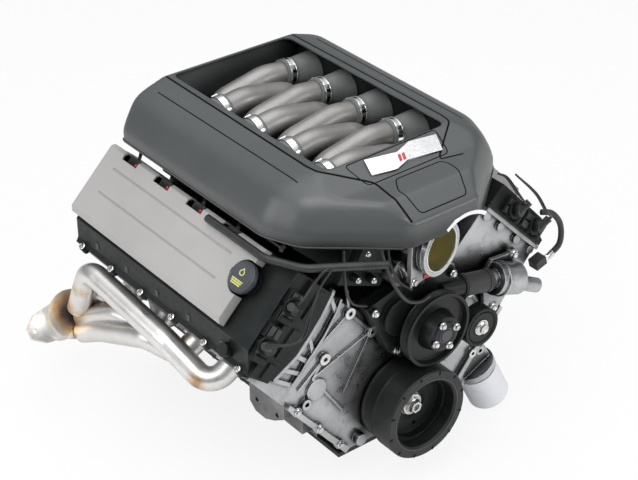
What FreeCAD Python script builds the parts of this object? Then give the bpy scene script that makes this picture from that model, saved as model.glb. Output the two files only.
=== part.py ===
import FreeCAD, Part
import os
from math import sin, cos, radians, sqrt, hypot

# V8 car engine with two camshafts in each head, millimetres, +Z up.
# Front of the engine towards -Y, crankshaft along Y through the origin.
# Origin: centre of the crankshaft's rear flange face.
# Bank frame: x is t (outwards, exhaust side), y is y, z is N (along the bores).

V = FreeCAD.Vector
os.makedirs("parts", exist_ok=True)

# driving dimensions
BORE_R = 46.1
STROKE_R = 46.35
ROD_LEN = 150.7
DECK_N = 227.0
PITCH = 100.0
STAGGER = 18.0
MAIN_R = 33.75
PIN_R = 26.5
FRONT_Y = -478.0
REAR_Y = -12.0
COVER_Y = -540.0
PAN_Z = -150.0
RAIL_Z = -75.0
CAM_T = 38.0
CAM_N = 345.0
HEAD_N = 365.0
PORT_N = 262.0
PAD_H = 14.6
RAIL_BOLTS = [-50.0 - 96.0 * i for i in range(6)]
LEFT = [-92.0 - PITCH * i for i in range(4)]
RIGHT = [y - STAGGER for y in LEFT]
MAINS = [-51.0 - PITCH * i for i in range(5)]
PINS = [-101.0 - PITCH * i for i in range(4)]
THROWS = [90.0, 0.0, 180.0, 270.0]
SPINDLE = (33.0, 158.6)
IDLER = (144.7, 112.7)
THROTTLE = V(30, -612, 328)
THROTTLE_DIR = V(sin(radians(12)), -cos(radians(12)), 0)
BOOT_REACH = 66.0
OUTER_RAIL = [(-96, 306), (-84, 302), (-46, 294), (-10, 291), (30, 290), (62, 299), (84, 305)]
INNER_RAIL = [(-90, 277), (-67, 269), (-23, 261), (12, 260), (30, 260.5), (54, 258), (78, 259)]
VALVE_U = V(-0.308, 0, 0.951).normalize()
VALVE_P = V(-25, 0, 235.5)
FAR = [-104.5 - PITCH * i for i in range(4)]
NEAR = [-151.0 - PITCH * i for i in range(4)]


def box(x0, x1, y0, y1, z0, z1):
    return Part.makeBox(x1 - x0, y1 - y0, z1 - z0, V(x0, y0, z0))


def cyl(p, d, r, h):
    return Part.makeCylinder(r, h, V(*p), V(*d))


def ycyl(x, z, r, y0, y1):
    return Part.makeCylinder(r, y1 - y0, V(x, y0, z), V(0, 1, 0))


def bar(a, b, r):
    a, b = V(*a), V(*b)
    return Part.makeCylinder(r, (b - a).Length, a, b - a)


def prism(points, direction):
    pts = [V(*p) for p in points]
    return Part.Face(Part.makePolygon(pts + [pts[0]])).extrude(V(*direction))


def xz(points, y0, y1):
    return prism([(x, y0, z) for x, z in points], (0, y1 - y0, 0))


def yz(points, x0, x1):
    return prism([(x0, y, z) for y, z in points], (x1 - x0, 0, 0))


def mirror_poly(half):
    return half + [(-x, z) for x, z in reversed(half) if abs(x) > 1e-6]


def fuse(parts):
    first = parts[0]
    return first.multiFuse(parts[1:]).removeSplitter() if len(parts) > 1 else first


def cut(shape, tools):
    return shape.cut(tools)


def group(parts):
    solids = []
    for p in parts:
        solids += p.Solids
    return Part.makeCompound(solids)


def bank(shape, side):
    s = shape.copy()
    s.rotate(V(0, 0, 0), V(0, 1, 0), 45)
    return s if side > 0 else s.mirror(V(0, 0, 0), V(1, 0, 0))


def both(maker):
    return [bank(maker(ys), side) for ys, side in ((RIGHT, -1), (LEFT, 1))]


def moved(shape, x=0, y=0, z=0):
    s = shape.copy()
    s.translate(V(x, y, z))
    return s


def local(side, t, n):
    return side * (n + t) / sqrt(2), (n - t) / sqrt(2)


def save(shape, name):
    solids = shape.Solids
    out = solids[0] if len(solids) == 1 else Part.makeCompound(solids)
    if not out.isValid():
        print("invalid", name)
    out.exportStep("parts/" + name + ".step")
    print(name, len(solids), round(out.Volume / 1000, 1))


def tangents(c1, r1, c2, r2):
    dx, dz = c2[0] - c1[0], c2[1] - c1[1]
    d = hypot(dx, dz)
    ux, uz = dx / d, dz / d
    k = (r1 - r2) / d
    h = sqrt(1 - k * k)
    out = []
    for s in (1, -1):
        nx, nz = ux * k - s * uz * h, uz * k + s * ux * h
        out += [(c1[0] + nx * r1, c1[1] + nz * r1), (c2[0] + nx * r2, c2[1] + nz * r2)]
    return [out[0], out[1], out[3], out[2]]


def belt(c1, r1, c2, r2, y0, y1):
    return fuse([ycyl(c1[0], c1[1], r1, y0, y1), ycyl(c2[0], c2[1], r2, y0, y1),
                 xz(tangents(c1, r1, c2, r2), y0, y1)])


def toothed(x, z, root, tip, n, y0, y1):
    pts = []
    for i in range(n):
        for r, f in ((root, 0.0), (root, 0.35), (tip, 0.5), (tip, 0.8)):
            a = radians(360 * (i + f) / n)
            pts.append((x + r * cos(a), z + r * sin(a)))
    return xz(pts, y0, y1)


def tube_wire(points, radii):
    pts = [V(*p) for p in points]
    edges, start = [], pts[0]
    for i in range(1, len(pts) - 1):
        a, b = (pts[i - 1] - pts[i]).normalize(), (pts[i + 1] - pts[i]).normalize()
        half = a.getAngle(b) / 2
        cut_len = radii[i - 1] / (sin(half) / cos(half))
        p, q = pts[i] + a * cut_len, pts[i] + b * cut_len
        mid_dir = (a + b).normalize()
        mid = pts[i] + mid_dir * (radii[i - 1] / sin(half) - radii[i - 1])
        if (p - start).Length > 1e-3:
            edges.append(Part.makeLine(start, p))
        edges.append(Part.Arc(p, mid, q).toShape())
        start = q
    if (pts[-1] - start).Length > 1e-3:
        edges.append(Part.makeLine(start, pts[-1]))
    return Part.Wire(edges)


def tube(points, radii, r):
    wire = tube_wire(points, radii)
    p0, d = V(*points[0]), V(*points[1]) - V(*points[0])
    ring = Part.Wire([Part.makeCircle(r, p0, d)])
    return wire.makePipeShell([ring], True, False)


def throw(i):
    a = radians(THROWS[i] + 45)
    return STROKE_R * cos(a), STROKE_R * sin(a)


def pin_height(i, side):
    px, pz = throw(i)
    along = (side * px + pz) / sqrt(2)
    across = (side * px - pz) / sqrt(2)
    return along, across, along + sqrt(ROD_LEN ** 2 - across ** 2)


def engine_block():
    n = [local(1, 88, 130), local(1, 88, DECK_N), local(1, -78, DECK_N), local(1, -78, 172)]
    half = [(0, RAIL_Z), (132, RAIL_Z), (132, 2)] + n + [(0, 168)]
    body = xz(mirror_poly(half), FRONT_Y, REAR_Y)
    flange = xz(mirror_poly([(0, RAIL_Z), (172, RAIL_Z), (186, 20), (176, 112), (120, 190), (0, 190)]),
                -30, REAR_Y)
    parts = [body, flange]
    for s in (-1, 1):
        side = [(-457, -22), (-430, -40), (-403, -52), (-373, -52), (-355, -38), (-355, 28), (-368, 40),
                (-457, 40)]
        parts.append(yz(side, *sorted((s * 125, s * 190))))
        x0, x1 = sorted((s * 125, s * 160))
        parts.append(box(x0, x1, -472, -340, -60, 8))
    block = fuse(parts)
    tools = [ycyl(0, 0, 36, FRONT_Y - 1, REAR_Y + 1), ycyl(0, 0, 46.5, -39, REAR_Y + 1)]
    for y in PINS:
        tools += [ycyl(0, 0, 86, y - 38, y + 38), box(-86, 86, y - 38, y + 38, RAIL_Z - 1, 0)]
    for y in MAINS:
        tools.append(box(-60, 60, y - 12, y + 12, RAIL_Z - 1, 0))
    for side, ys in ((-1, RIGHT), (1, LEFT)):
        for y in ys:
            x, z = local(side, 0, 60)
            tools.append(cyl((x, y, z), (side, 0, 1), 48.55, 170))
            for t in (-62, 62):
                hx, hz = local(side, t, 170)
                if t > 0 or y != ys[0]:
                    tools.append(cyl((hx, y + 50, hz), (side, 0, 1), 5.6, 60))
        for y in (-437, -377):
            for z in (-24, 30):
                tools.append(cyl((side * 190, y, z), (-side, 0, 0), 5.0, 25))
        for z in (-42, 88):
            tools.append(ycyl(side * 150, z, 6.0, -31, REAR_Y + 1))
    return cut(block, tools)


def cylinder_liners():
    def make(ys):
        ring = cyl((0, 0, 92), (0, 0, 1), 48.5, 135).cut(cyl((0, 0, 91), (0, 0, 1), BORE_R, 137))
        return group([moved(ring, y=y) for y in ys])
    return group(both(make))


def main_caps():
    out = []
    for y in MAINS:
        cap = box(-59.8, 59.8, y - 11.5, y + 11.5, -60, -0.1)
        cap = cut(cap, [ycyl(0, 0, 36.02, y - 20, y + 20)] +
                  [cyl((s * 48, y, -70), (0, 0, 1), 5.7, 80) for s in (-1, 1)])
        out.append(cap)
    return group(out)


def hex_bolt(p, d, r, length, head):
    p, d = V(*p), V(*d).normalize()
    shank = Part.makeCylinder(r, length, p - d * length, d)
    h = Part.makeCylinder(head, head * 0.75, p, d)
    flange = Part.makeCylinder(head * 1.3, head * 0.2, p, d)
    return fuse([shank, h, flange])


def structural_bolts():
    out = []
    for y in MAINS:
        out += [hex_bolt((s * 48, y, -60.1), (0, 0, -1), 5.4, 59, 8) for s in (-1, 1)]
    return group(out)


def main_bearings():
    out = []
    for y in MAINS:
        ring = ycyl(0, 0, 35.95, y - 11, y + 11).cut(ycyl(0, 0, MAIN_R + 0.05, y - 12, y + 12))
        out.append(ring.common(box(-40, 40, y - 12, y + 12, 0.05, 40)))
        out.append(ring.common(box(-40, 40, y - 12, y + 12, -40, -0.15)))
    return group(out)


def crank_web(i, y0, y1):
    px, pz = throw(i)
    k = 1 / STROKE_R
    arm = belt((0, 0), 44, (px, pz), 31.5, y0, y1)
    weight = ycyl(0, 0, 78, y0, y1)
    ux, uz = px * k, pz * k
    keep = xz([(-uz * 80 - ux * 6, ux * 80 - uz * 6), (uz * 80 - ux * 6, -ux * 80 - uz * 6),
               (uz * 62 - ux * 90, -ux * 62 - uz * 90), (-uz * 62 - ux * 90, ux * 62 - uz * 90)], y0, y1)
    return fuse([arm, weight.common(keep)])


def crankshaft():
    parts = [ycyl(0, 0, 46, -38, 0)]
    parts += [ycyl(0, 0, MAIN_R, y - 14.2, y + 14.2) for y in MAINS]
    for i, y in enumerate(PINS):
        px, pz = throw(i)
        parts.append(ycyl(px, pz, PIN_R, y - 20, y + 20))
        parts += [crank_web(i, y - 36, y - 19.5), crank_web(i, y + 19.5, y + 36)]
    parts.append(ycyl(0, 0, 22.5, -580, -460))
    shaft = fuse(parts)
    tools = [ycyl(0, 0, 17.5, -11, 1), ycyl(0, 0, 7.1, -581, -530)]
    for i in range(8):
        a = radians(45 * i + 22.5)
        tools.append(ycyl(39 * cos(a), 39 * sin(a), 5.0, -24, 1))
    return cut(shaft, tools)


def crank_sprocket():
    rows = [toothed(0, 0, 23.5, 27, 20, y - 3.5, y + 3.5) for y in (-488, -502)]
    body = fuse(rows + [ycyl(0, 0, 25.5, -507, -482)])
    return body.cut(ycyl(0, 0, 22.53, -510, -480))


def revolve(profile, x, z):
    pts = [V(x + r, y, z) for r, y in profile]
    face = Part.Face(Part.makePolygon(pts + [pts[0]]))
    return face.revolve(V(x, 0, z), V(0, 1, 0), 360)


def damper_hub():
    profile = [(22.53, -508), (28, -508), (28, -560), (34, -566), (60, -572), (60, -546), (64, -546),
               (64, -600), (60, -600), (60, -584), (34, -580), (22.53, -580)]
    hub = revolve(profile, 0, 0)
    holes = [ycyl(47 * cos(radians(120 * i + 40)), 47 * sin(radians(120 * i + 40)), 4.2, -600, -560)
             for i in range(3)]
    return cut(hub, holes)


def damper_ring():
    profile = [(66.5, -545), (85, -545), (85, -549)]
    for i in range(6):
        y = -552 - 4 * i
        profile += [(81.5, y), (85, y - 2)]
    profile += [(84, -579), (88.5, -582), (88.5, -622), (86, -625), (70, -625), (66.5, -621)]
    rubber = revolve([(64, -547), (66.5, -547), (66.5, -598), (64, -598)], 0, 0)
    return fuse([revolve(profile, 0, 0), rubber])


def damper_bolt():
    washer = ycyl(0, 0, 21, -586, -580.1)
    head = ycyl(0, 0, 12.5, -598, -586)
    shank = ycyl(0, 0, 7.0, -586, -540)
    bolt = fuse([washer, head, shank])
    return bolt.cut(ycyl(0, 0, 6.5, -600, -590))


def piston():
    top = 30.0
    body = cyl((0, 0, -25), (0, 0, 1), BORE_R - 0.1, 25 + top)
    inner = cyl((0, 0, -26), (0, 0, 1), 38.5, 26 + 20)
    boss = [box(-14, 14, s, s + 26, -16, 21) for s in (-39, 13)]
    body = fuse([body.cut(inner)] + [b.common(cyl((0, 0, -25), (0, 0, 1), 40, 50)) for b in boss])
    tools = [ycyl(0, 0, 11.05, -50, 50)]
    for n in (23.5, 18.0, 12.5):
        ring = cyl((0, 0, n), (0, 0, 1), 47, 1.7).cut(cyl((0, 0, n), (0, 0, 1), 42.5, 1.7))
        tools.append(ring)
    for s in (-1, 1):
        tools.append(box(-50, 50, s * 42 - 4.5, s * 42 + 4.5, -26, -2).cut(box(-18, 18, -60, 60, -30, 0)))
    return cut(body, tools)


def rings():
    out = []
    for n in (23.5, 18.0, 12.5):
        out.append(cyl((0, 0, n + 0.1), (0, 0, 1), BORE_R - 0.03, 1.5).cut(
            cyl((0, 0, n), (0, 0, 1), 43, 2)))
    return group(out)


def per_cylinder(shape_maker):
    out = []
    for side, ys in ((-1, RIGHT), (1, LEFT)):
        for i, y in enumerate(ys):
            out.append(bank(moved(shape_maker(), y=y, z=pin_height(i, side)[2]), side))
    return group(out)


def wrist_pin():
    return ycyl(0, 0, 11.0, -31, 31).cut(ycyl(0, 0, 6.5, -32, 32))


def connecting_rods():
    out = []
    for side, ys in ((-1, RIGHT), (1, LEFT)):
        for i, y in enumerate(ys):
            along, across, top = pin_height(i, side)
            d = V(-across, 0, top - along).normalize()
            w = V(d.z, 0, -d.x)
            big, small = V(across, 0, along), V(0, 0, top)

            def at(u, v):
                p = big + d * u + w * v
                return p.x, p.z
            y0, y1 = y - 8.8, y + 8.8
            end = ycyl(big.x, big.z, 34, y0, y1)
            ears = xz([at(-12, -41), at(14, -41), at(14, 41), at(-12, 41)], y0, y1)
            beam = xz([at(26, -15), at(138, -9), at(138, 9), at(26, 15)], y - 6, y + 6)
            eye = ycyl(small.x, small.z, 16, y0, y1)
            rod = fuse([end, ears, beam, eye])
            rod = cut(rod, [ycyl(big.x, big.z, PIN_R + 0.05, y - 10, y + 10),
                            ycyl(small.x, small.z, 11.05, y - 10, y + 10)])
            up = xz([at(0.1, -60), at(0.1, 60), at(180, 60), at(180, -60)], y - 10, y + 10)
            low = xz([at(-0.1, -60), at(-0.1, 60), at(-60, 60), at(-60, -60)], y - 10, y + 10)
            out += [bank(rod.common(up), side), bank(rod.common(low), side)]
    return group(out)


def towers(ys):
    return [ys[0] + 41] + [y - 50 for y in ys[:3]] + [ys[3] - 48]


def along_valve(s, r0, r1, h):
    p = VALVE_P + VALVE_U * s
    if abs(r0 - r1) < 1e-6:
        return Part.makeCylinder(r0, h, p, VALVE_U)
    return Part.makeCone(r0, r1, h, p, VALVE_U)


def valve_set(master, ys):
    out = []
    flip = master.mirror(V(0, 0, 0), V(1, 0, 0))
    for y in ys:
        for dy in (-19, 19):
            out += [moved(master, y=y + dy), moved(flip, y=y + dy)]
    return out


def cylinder_head(ys):
    outline = [(-85, 228.3), (90, 228.3), (105, 240), (105, 335), (99, HEAD_N), (-85, HEAD_N)]
    body = xz(outline, FRONT_Y, -30).cut(box(-74, 88, -468, -42, 285, 370))
    add = [box(-62, 62, y - 8.5, y + 8.5, 280, CAM_N) for y in towers(ys)]
    add += [cyl((0, y, 280), (0, 0, 1), 14.5, 70) for y in ys]
    body = fuse([body] + add)
    tools = []
    for s in (-1, 1):
        tools.append(ycyl(s * CAM_T, CAM_N, 14.05, -467, -42))
        tools.append(ycyl(s * CAM_T, CAM_N, 16, FRONT_Y - 1, -460))
    throat = along_valve(-0.01, 14, 14, 30)
    guide = along_valve(0, 3.3, 3.3, 70)
    for m in (throat, guide):
        tools += valve_set(m, ys)
    for y in ys:
        tools.append(cyl((0, y, 228), (0, 0, 1), BORE_R, 2.2))
        tools.append(xz([(-42, 230), (42, 230), (8, 241), (-8, 241)], y - 38, y + 38))
        tools += [cyl((0, y, 240), (0, 0, 1), 7.0, 25), cyl((0, y, 262), (0, 0, 1), 11.6, 100)]
        for s, x1 in ((-1, -86), (1, 106)):
            tools.append(bar((s * 30, y, PORT_N - 4), (x1, y, PORT_N), 17))
            tools += [bar((s * 36, y + dy, PORT_N - 2), (s * 50, y, PORT_N - 1), 13) for dy in (-19, 19)]
    return cut(body, tools)


def gaskets():
    def head(ys):
        g = box(-77, 87, -470, -34, DECK_N + 0.1, 228.2)
        return cut(g, [cyl((0, y, 220), (0, 0, 1), BORE_R + 0.8, 20) for y in ys])

    def port(ys):
        out = []
        for y in ys:
            g = box(105.1, 106.3, y - 34, y + 34, PORT_N - 24, PORT_N + 26)
            out.append(g.cut(cyl((100, y, PORT_N), (1, 0, 0), 18, 10)))
        return group(out)
    return group(both(head) + both(port))


def valves():
    disc = along_valve(-2.2, 15, 15, 2.0)
    neck = along_valve(-0.2, 12.5, 3.2, 12)
    stem = along_valve(5, 3.2, 3.2, 85)
    master = fuse([disc, neck, stem])
    return group(both(lambda ys: group(valve_set(master, ys))))


def valve_springs():
    sleeve = along_valve(44, 12.5, 12.5, 39)
    grooves = [along_valve(54 + 5 * i, 20, 20, 2.2).cut(along_valve(50 + 5 * i, 11, 11, 12)) for i in range(5)]
    hollow = along_valve(43, 9.5, 9.5, 37)
    master = cut(sleeve, grooves + [hollow, along_valve(40, 3.3, 3.3, 60)])
    master = master.common(box(-90, 0, -20, 20, 285.1, 330))
    return group(both(lambda ys: group(valve_set(master, ys))))


def cam_followers():
    finger = fuse([box(-58, -14, -4.5, 4.5, 323.4, 327.7)])
    post = cyl((-18.5, 0, 285.1), (0, 0, 1), 4.5, 38.2)
    return group(both(lambda ys: group(valve_set(finger, ys) + valve_set(post, ys))))


def cam_caps():
    def make(ys):
        out = []
        for y in towers(ys):
            for s in (-1, 1):
                b = box(s * CAM_T - 22, s * CAM_T + 22, y - 8.3, y + 8.3, CAM_N + 0.1, CAM_N + 20)
                out.append(b.cut(ycyl(s * CAM_T, CAM_N, 14.05, y - 10, y + 10)))
        return group(out)
    return group(both(make))


def lobe(x, z, angle, y0, y1):
    a = radians(angle)
    c = (x + 17 * cos(a), z + 17 * sin(a))
    return belt((x, z), 17, c, 7.4, y0, y1)


ORDER = {-1: [300, 120, 30, 210], 1: [75, 255, 345, 165]}


def camshaft(side, s):
    ys = LEFT if side > 0 else RIGHT
    x, z = s * CAM_T, CAM_N
    parts = [ycyl(x, z, 11.5, -524, -48)]
    parts += [ycyl(x, z, 14.0, y - 9, y + 9) for y in towers(ys)]
    for i, y in enumerate(ys):
        a = ORDER[side][i] + (s * 55)
        a = 90 + (a - 90) % 360
        while 203 < a % 360 < 337:
            a += 45
        for dy in (-19, 19):
            parts.append(lobe(x, z, a, y + dy - 6, y + dy + 6))
    return bank(fuse(parts), side)


def phaser(side, s):
    x, z = s * CAM_T, CAM_N
    parts = [toothed(x, z, 26, 29, 24, -523.5, -516.5), ycyl(x, z, 24, -528, -480)]
    if s < 0:
        y = -488 if side < 0 else -502
        parts.append(toothed(x, z, 26.5, 30, 24, y - 3.5, y + 3.5))
        parts.append(ycyl(x, z, 27, y + 6 if side > 0 else -514, -482 if side > 0 else y - 6))
    else:
        parts.append(ycyl(x, z, 31, -512, -482))
    body = fuse(parts)
    body = cut(body, [ycyl(x, z, 11.53, -525, -479)])
    return bank(body, side)


def timing_chains():
    out = []
    for side, y in ((-1, -488), (1, -502)):
        c = local(side, -CAM_T, CAM_N)
        band = belt((0, 0), 33, c, 36, y - 4, y + 4)
        out.append(band.cut(belt((0, 0), 27.3, c, 30.3, y - 5, y + 5)))
        a, b = (-CAM_T, CAM_N), (CAM_T, CAM_N)
        band = belt(a, 35, b, 35, -524, -516)
        out.append(bank(band.cut(belt(a, 29.3, b, 29.3, -525, -515)), side))
    return group(out)


def chain_guides():
    out = []
    for side, y in ((-1, -488), (1, -502)):
        c = local(side, -CAM_T, CAM_N)
        tg = tangents((0, 0), 33.3, c, 36.3)
        for k, (a, b) in enumerate(((tg[0], tg[1]), (tg[3], tg[2]))):
            d = V(b[0] - a[0], 0, b[1] - a[1]).normalize()
            n = V(d.z, 0, -d.x)
            mid = V((a[0] + b[0]) / 2 - c[0] / 2, 0, (a[1] + b[1]) / 2 - c[1] / 2)
            if n.dot(mid) < 0:
                n = n * -1
            p, q = V(a[0], 0, a[1]) + d * 70, V(a[0], 0, a[1]) + d * (250 if k else 235)
            quad = [p, q, q + n * 7, p + n * 7]
            guide = xz([(v.x, v.z) for v in quad], y - 6, y + 6)
            legs = []
            for u in (90, 215):
                e = V(a[0], 0, a[1]) + d * u + n * 6
                legs.append(ycyl(e.x, e.z, 5, y, FRONT_Y - 0.1))
            out.append(fuse([guide] + legs))
    return group(out)


def timing_cover():
    half = [(0, RAIL_Z), (120, RAIL_Z), (251, 86), local(1, 104, HEAD_N - 0.2), local(1, -85, HEAD_N - 0.2),
            local(1, -85, 257), (62, 190), (0, 182)]
    body = xz(mirror_poly(half), COVER_Y, FRONT_Y - 0.2)
    inner = [(0, -66), (112, -66), (243, 92), local(1, 88, 372), local(1, -76, 372), local(1, -76, 262),
             (60, 181), (0, 172)]
    body = body.cut(xz(mirror_poly(inner), COVER_Y + 6, FRONT_Y + 5))
    add = []
    for s in (-1, 1):
        for x, z in ((113, 222), (167, 151), (63.5, 163.6)):
            add.append(ycyl(s * x, z, 11, COVER_Y - 7, COVER_Y))
        seen = [((113, 222), (166, 188)), ((63.5, 163.6), (192, 120)), ((63.5, 163.6), (124, 60)),
                ((167, 151), (222, 108)), ((113, 222), (118, 268)), ((63.5, 163.6), (113, 222)),
                ((192, 120), (124, 20)), ((167, 151), (192, 120))]
        hid = [((113, 222), (190, 120)), ((63.5, 163.6), (172, 52)), ((63.5, 163.6), (118, 20)),
               ((167, 151), (120, 60))]
        for a, b in seen if s < 0 else hid:
            d = V(b[0] - a[0], 0, b[1] - a[1]).normalize()
            n = V(d.z, 0, -d.x) * 2.5
            quad = [(a[0] + n.x, a[1] + n.z), (b[0] + n.x, b[1] + n.z),
                    (b[0] - n.x, b[1] - n.z), (a[0] - n.x, a[1] - n.z)]
            add.append(xz([(s * x, z) for x, z in quad], COVER_Y - 4, COVER_Y))
        rim = [local(1, 104, HEAD_N - 0.2), local(1, -85, HEAD_N - 0.2), local(1, -85, HEAD_N - 8),
               local(1, 104, HEAD_N - 8)]
        add.append(xz([(s * x, z) for x, z in rim], COVER_Y - 9, COVER_Y))
        for t in (-70, -20, 40, 92):
            x, z = local(s, t, HEAD_N - 14)
            add.append(ycyl(x, z, 9, COVER_Y - 6, COVER_Y + 8))
        low = [(121, -74), (249, 82), (243, 90), (112, -66)]
        add.append(xz([(s * x, z) for x, z in low], COVER_Y - 8, COVER_Y))
        add += [ycyl(s * x, z, 9, COVER_Y - 8, COVER_Y) for x, z in ((134, -48), (180, 9), (228, 68))]
        add.append(ycyl(s * 88, -58, 12, COVER_Y - 12, COVER_Y))
    add.append(ycyl(0, 0, 40, COVER_Y - 3, COVER_Y))
    add.append(ycyl(-183, 93, 21, COVER_Y - 4, COVER_Y))
    add.append(ycyl(-207, 74, 10, COVER_Y - 8, COVER_Y))
    for line, half in ((OUTER_RAIL, 4.0), (INNER_RAIL, 2.6)):
        loop = [local(-1, t, n + half) for t, n in line] + [local(-1, t, n - half) for t, n in line[::-1]]
        add.append(xz(loop, COVER_Y - 7, COVER_Y))
    for k in (0, 2, 3, 4, 5):
        (t0, n0), (t1, n1) = OUTER_RAIL[k + 1], INNER_RAIL[k + 1]
        bar4 = [local(-1, t0 - 4, n0), local(-1, t0 + 4, n0), local(-1, t1 + 4, n1), local(-1, t1 - 4, n1)]
        add.append(xz(bar4, COVER_Y - 5, COVER_Y))
    add.append(ycyl(IDLER[0], IDLER[1], 15, -574, COVER_Y))
    body = fuse([body] + add)
    tools = [ycyl(0, 0, 28.3, -560, -520), ycyl(-207, 74, 4.6, -560, COVER_Y + 3),
             ycyl(IDLER[0], IDLER[1], 5.1, -580, -545),
             box(-90, 90, -533, -470, -80, -60)]
    for s in (-1, 1):
        for x, z in ((113, 222), (167, 151), (63.5, 163.6)):
            tools.append(ycyl(s * x, z, 4.2, COVER_Y - 8, COVER_Y + 3))
        for x, z in ((134, -48), (180, 9), (228, 68)):
            tools.append(ycyl(s * x, z, 3.4, COVER_Y - 10, COVER_Y + 3))
    return cut(body, tools)


def oil_pan():
    def level(dx, z):
        front, rear = -536 + 1.3 * dx, -30 - dx / 2
        return [V(-122 + dx, front, z), V(122 - dx, front, z), V(122 - dx, rear, z), V(-122 + dx, rear, z)]

    def loft(a, b):
        wires = [Part.makePolygon(w + [w[0]]) for w in (a, b)]
        return Part.makeLoft(wires, True, True)
    skin = fuse([loft(level(0, -79), level(56, PAN_Z + 8)), loft(level(56, PAN_Z + 8), level(62, PAN_Z)),
                 box(-131, 131, -540, -14, -84, RAIL_Z - 0.2)])
    hollow = fuse([loft(level(4.5, -74), level(60.5, PAN_Z + 12))])
    return skin.cut(hollow)


def oil_pump():
    body = ycyl(0, 0, 56, -532, -509)
    legs = [ycyl(x, z, 6.5, -512, FRONT_Y - 0.1) for x, z in ((47, -18), (-47, -18), (0, -50))]
    pump = fuse([body] + legs)
    pump = pump.cut(ycyl(0, 0, 28.3, -540, -508))
    pipe = tube([(0, -521.5, -56.1), (0, -521.5, -70), (0, -440, -112), (0, -370, -124)], [9, 40], 9)
    screen = cyl((0, -380, -134), (0, 0, 1), 34, 26)
    return group([pump, fuse([pipe, screen])])


def filter_line():
    return V(212, -522, -50), V(0.42, -0.1, -0.9).normalize()


def oil_filter():
    p, d = filter_line()
    can = Part.makeCylinder(40, 80, p + d * 4, d)
    can = can.makeFillet(9, [e for e in can.Edges if abs((e.CenterOfMass - (p + d * 84)).Length) < 1])
    ring = Part.makeCylinder(36, 4.5, p + d * 0.2, d)
    return fuse([can, ring])


def filter_adapter():
    p, d = filter_line()
    plate = Part.makeCylinder(41, 12, p - d * 12, d)
    arm = xz([(152, -50), (153, -62), (214, -62), (236, -24), (216, 12), (202, 12)], -536, -474)
    foot = xz([(137, -63), (160, -63), (160, -35)], -484, -472.3)
    boss = [ycyl(202, 4, 9, -545, -482), ycyl(156, -56, 8, -545, -482)]
    body = fuse([arm, foot, plate] + boss)
    trim = Part.makeCylinder(80, 200, p, d)
    body = body.cut([trim, ycyl(202, 4, 4.2, -546, -500), ycyl(156, -56, 3.4, -546, -500)])
    return body


def cam_cover_outer(y0, y1, grow):
    g = grow
    pts = [(-92, HEAD_N + 0.2), (98, HEAD_N + 0.2), (98, 377), (88 - g, 380 - g), (60 - g, 408 - g),
           (-90 + g, 412 - g), (-92 + g, 377)]
    return xz(pts, y0, y1)


def cam_cover(ys, right):
    body = cam_cover_outer(-552, -26, 0)
    hollow = xz([(-76, 360), (88, 360), (84, 377), (57, 403), (-84, 407), (-86, 378)], -540, -38)
    body = body.cut(hollow)
    add = []
    for y in RAIL_BOLTS:
        add.append(cyl((98, y, HEAD_N + 0.2), (0, 0, 1), 7.2, PAD_H))
    for y in ys:
        add.append(cyl((0, y, 350.1), (0, 0, 1), 14.5, 62))
    for k, t in enumerate((-62, -30, 2, 34)):
        add.append(box(t, t + 24, -560, -550, 372, 404 - 4 * (k == 3)))
    for s in (-1, 1):
        add.append(cyl((s * CAM_T, -541, CAM_N + 38), (0, -1, 0.25), 16.5, 26))
        add.append(cyl((s * CAM_T + 25, -559, 370), (0, 0, 1), 7.5, 30))
    if right:
        apron = [(-90, 377), (-90, 322), (-47, 313), (-12, 311), (28, 310), (63, 320), (92, 331), (96, 377)]
        add.append(xz(apron, -560, -551.5))
        for t0, t1, top in ((-84, -28, 352), (-8, 48, 354), (60, 90, 356)):
            add.append(box(t0, t1, -563.5, -559, top - 18, top))
        add.append(cyl((-32, -476, 405), (0, 0, 1), 21, 21.5))
        add.append(cyl((74, -500, 376), (0.4, 0, 1), 12, 30))
    body = fuse([body] + add)
    tools = [cyl((0, y, 349), (0, 0, 1), 11.6, 80) for y in ys]
    for y in RAIL_BOLTS:
        tools.append(cyl((98, y, HEAD_N + 3), (0, 0, 1), 3.4, PAD_H))
    tools += [ycyl(s * CAM_T, CAM_N, 35.4, -540, -470) for s in (-1, 1)]
    if right:
        tools.append(cyl((-32, -476, 400), (0, 0, 1), 16, 30))
    return cut(body, tools)


def coil_cover(ys, right):
    y0, y1 = -482, -24
    outer = xz([(-91, 415), (-91, 427), (-85, 433), (44, 433), (53, 425), (53, 412.3), (-91, 412.3)], y0, y1)
    inner = xz([(-88, 412), (-88, 425), (-83, 429.5), (42, 429.5), (49.5, 423), (49.5, 412)], y0 + 4, y1 - 4)
    body = outer.cut(inner)
    tools = []
    for y in ys:
        tools.append(box(-96, -76, y - 3, y + 42, 400, 440))
    for t in (-53, -4):
        tools.append(box(t - 1.5, t + 1.5, -425, -64, 431.5, 440))
    tools.append(xz([(54, 411), (66, 423), (66, 411)], -500, 0))
    if right:
        tools.append(cyl((-32, -476, 400), (0, 0, 1), 31, 50))
    body = cut(body, tools)
    posts = [cyl((25, y, 412.3), (0, 0, 1), 6, 18) for y in (-60, -245, -455)]
    return fuse([body] + posts)


def ignition_coils():
    def make(ys):
        out = []
        for y in ys:
            head = box(-26, 16, y - 13, y + 13, 412.3, 424)
            stem = cyl((0, y, 286), (0, 0, 1), 10.8, 130)
            plug = box(-42, -26, y - 8, y + 8, 414, 423)
            out.append(fuse([head, stem, plug]))
        return group(out)
    return group(both(make))


def spark_plugs():
    def make(ys):
        out = []
        for y in ys:
            out.append(fuse([cyl((0, y, 241.5), (0, 0, 1), 6.9, 25), cyl((0, y, 262.1), (0, 0, 1), 9.5, 10),
                             cyl((0, y, 270), (0, 0, 1), 5.5, 15.8)]))
        return group(out)
    return group(both(make))


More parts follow.
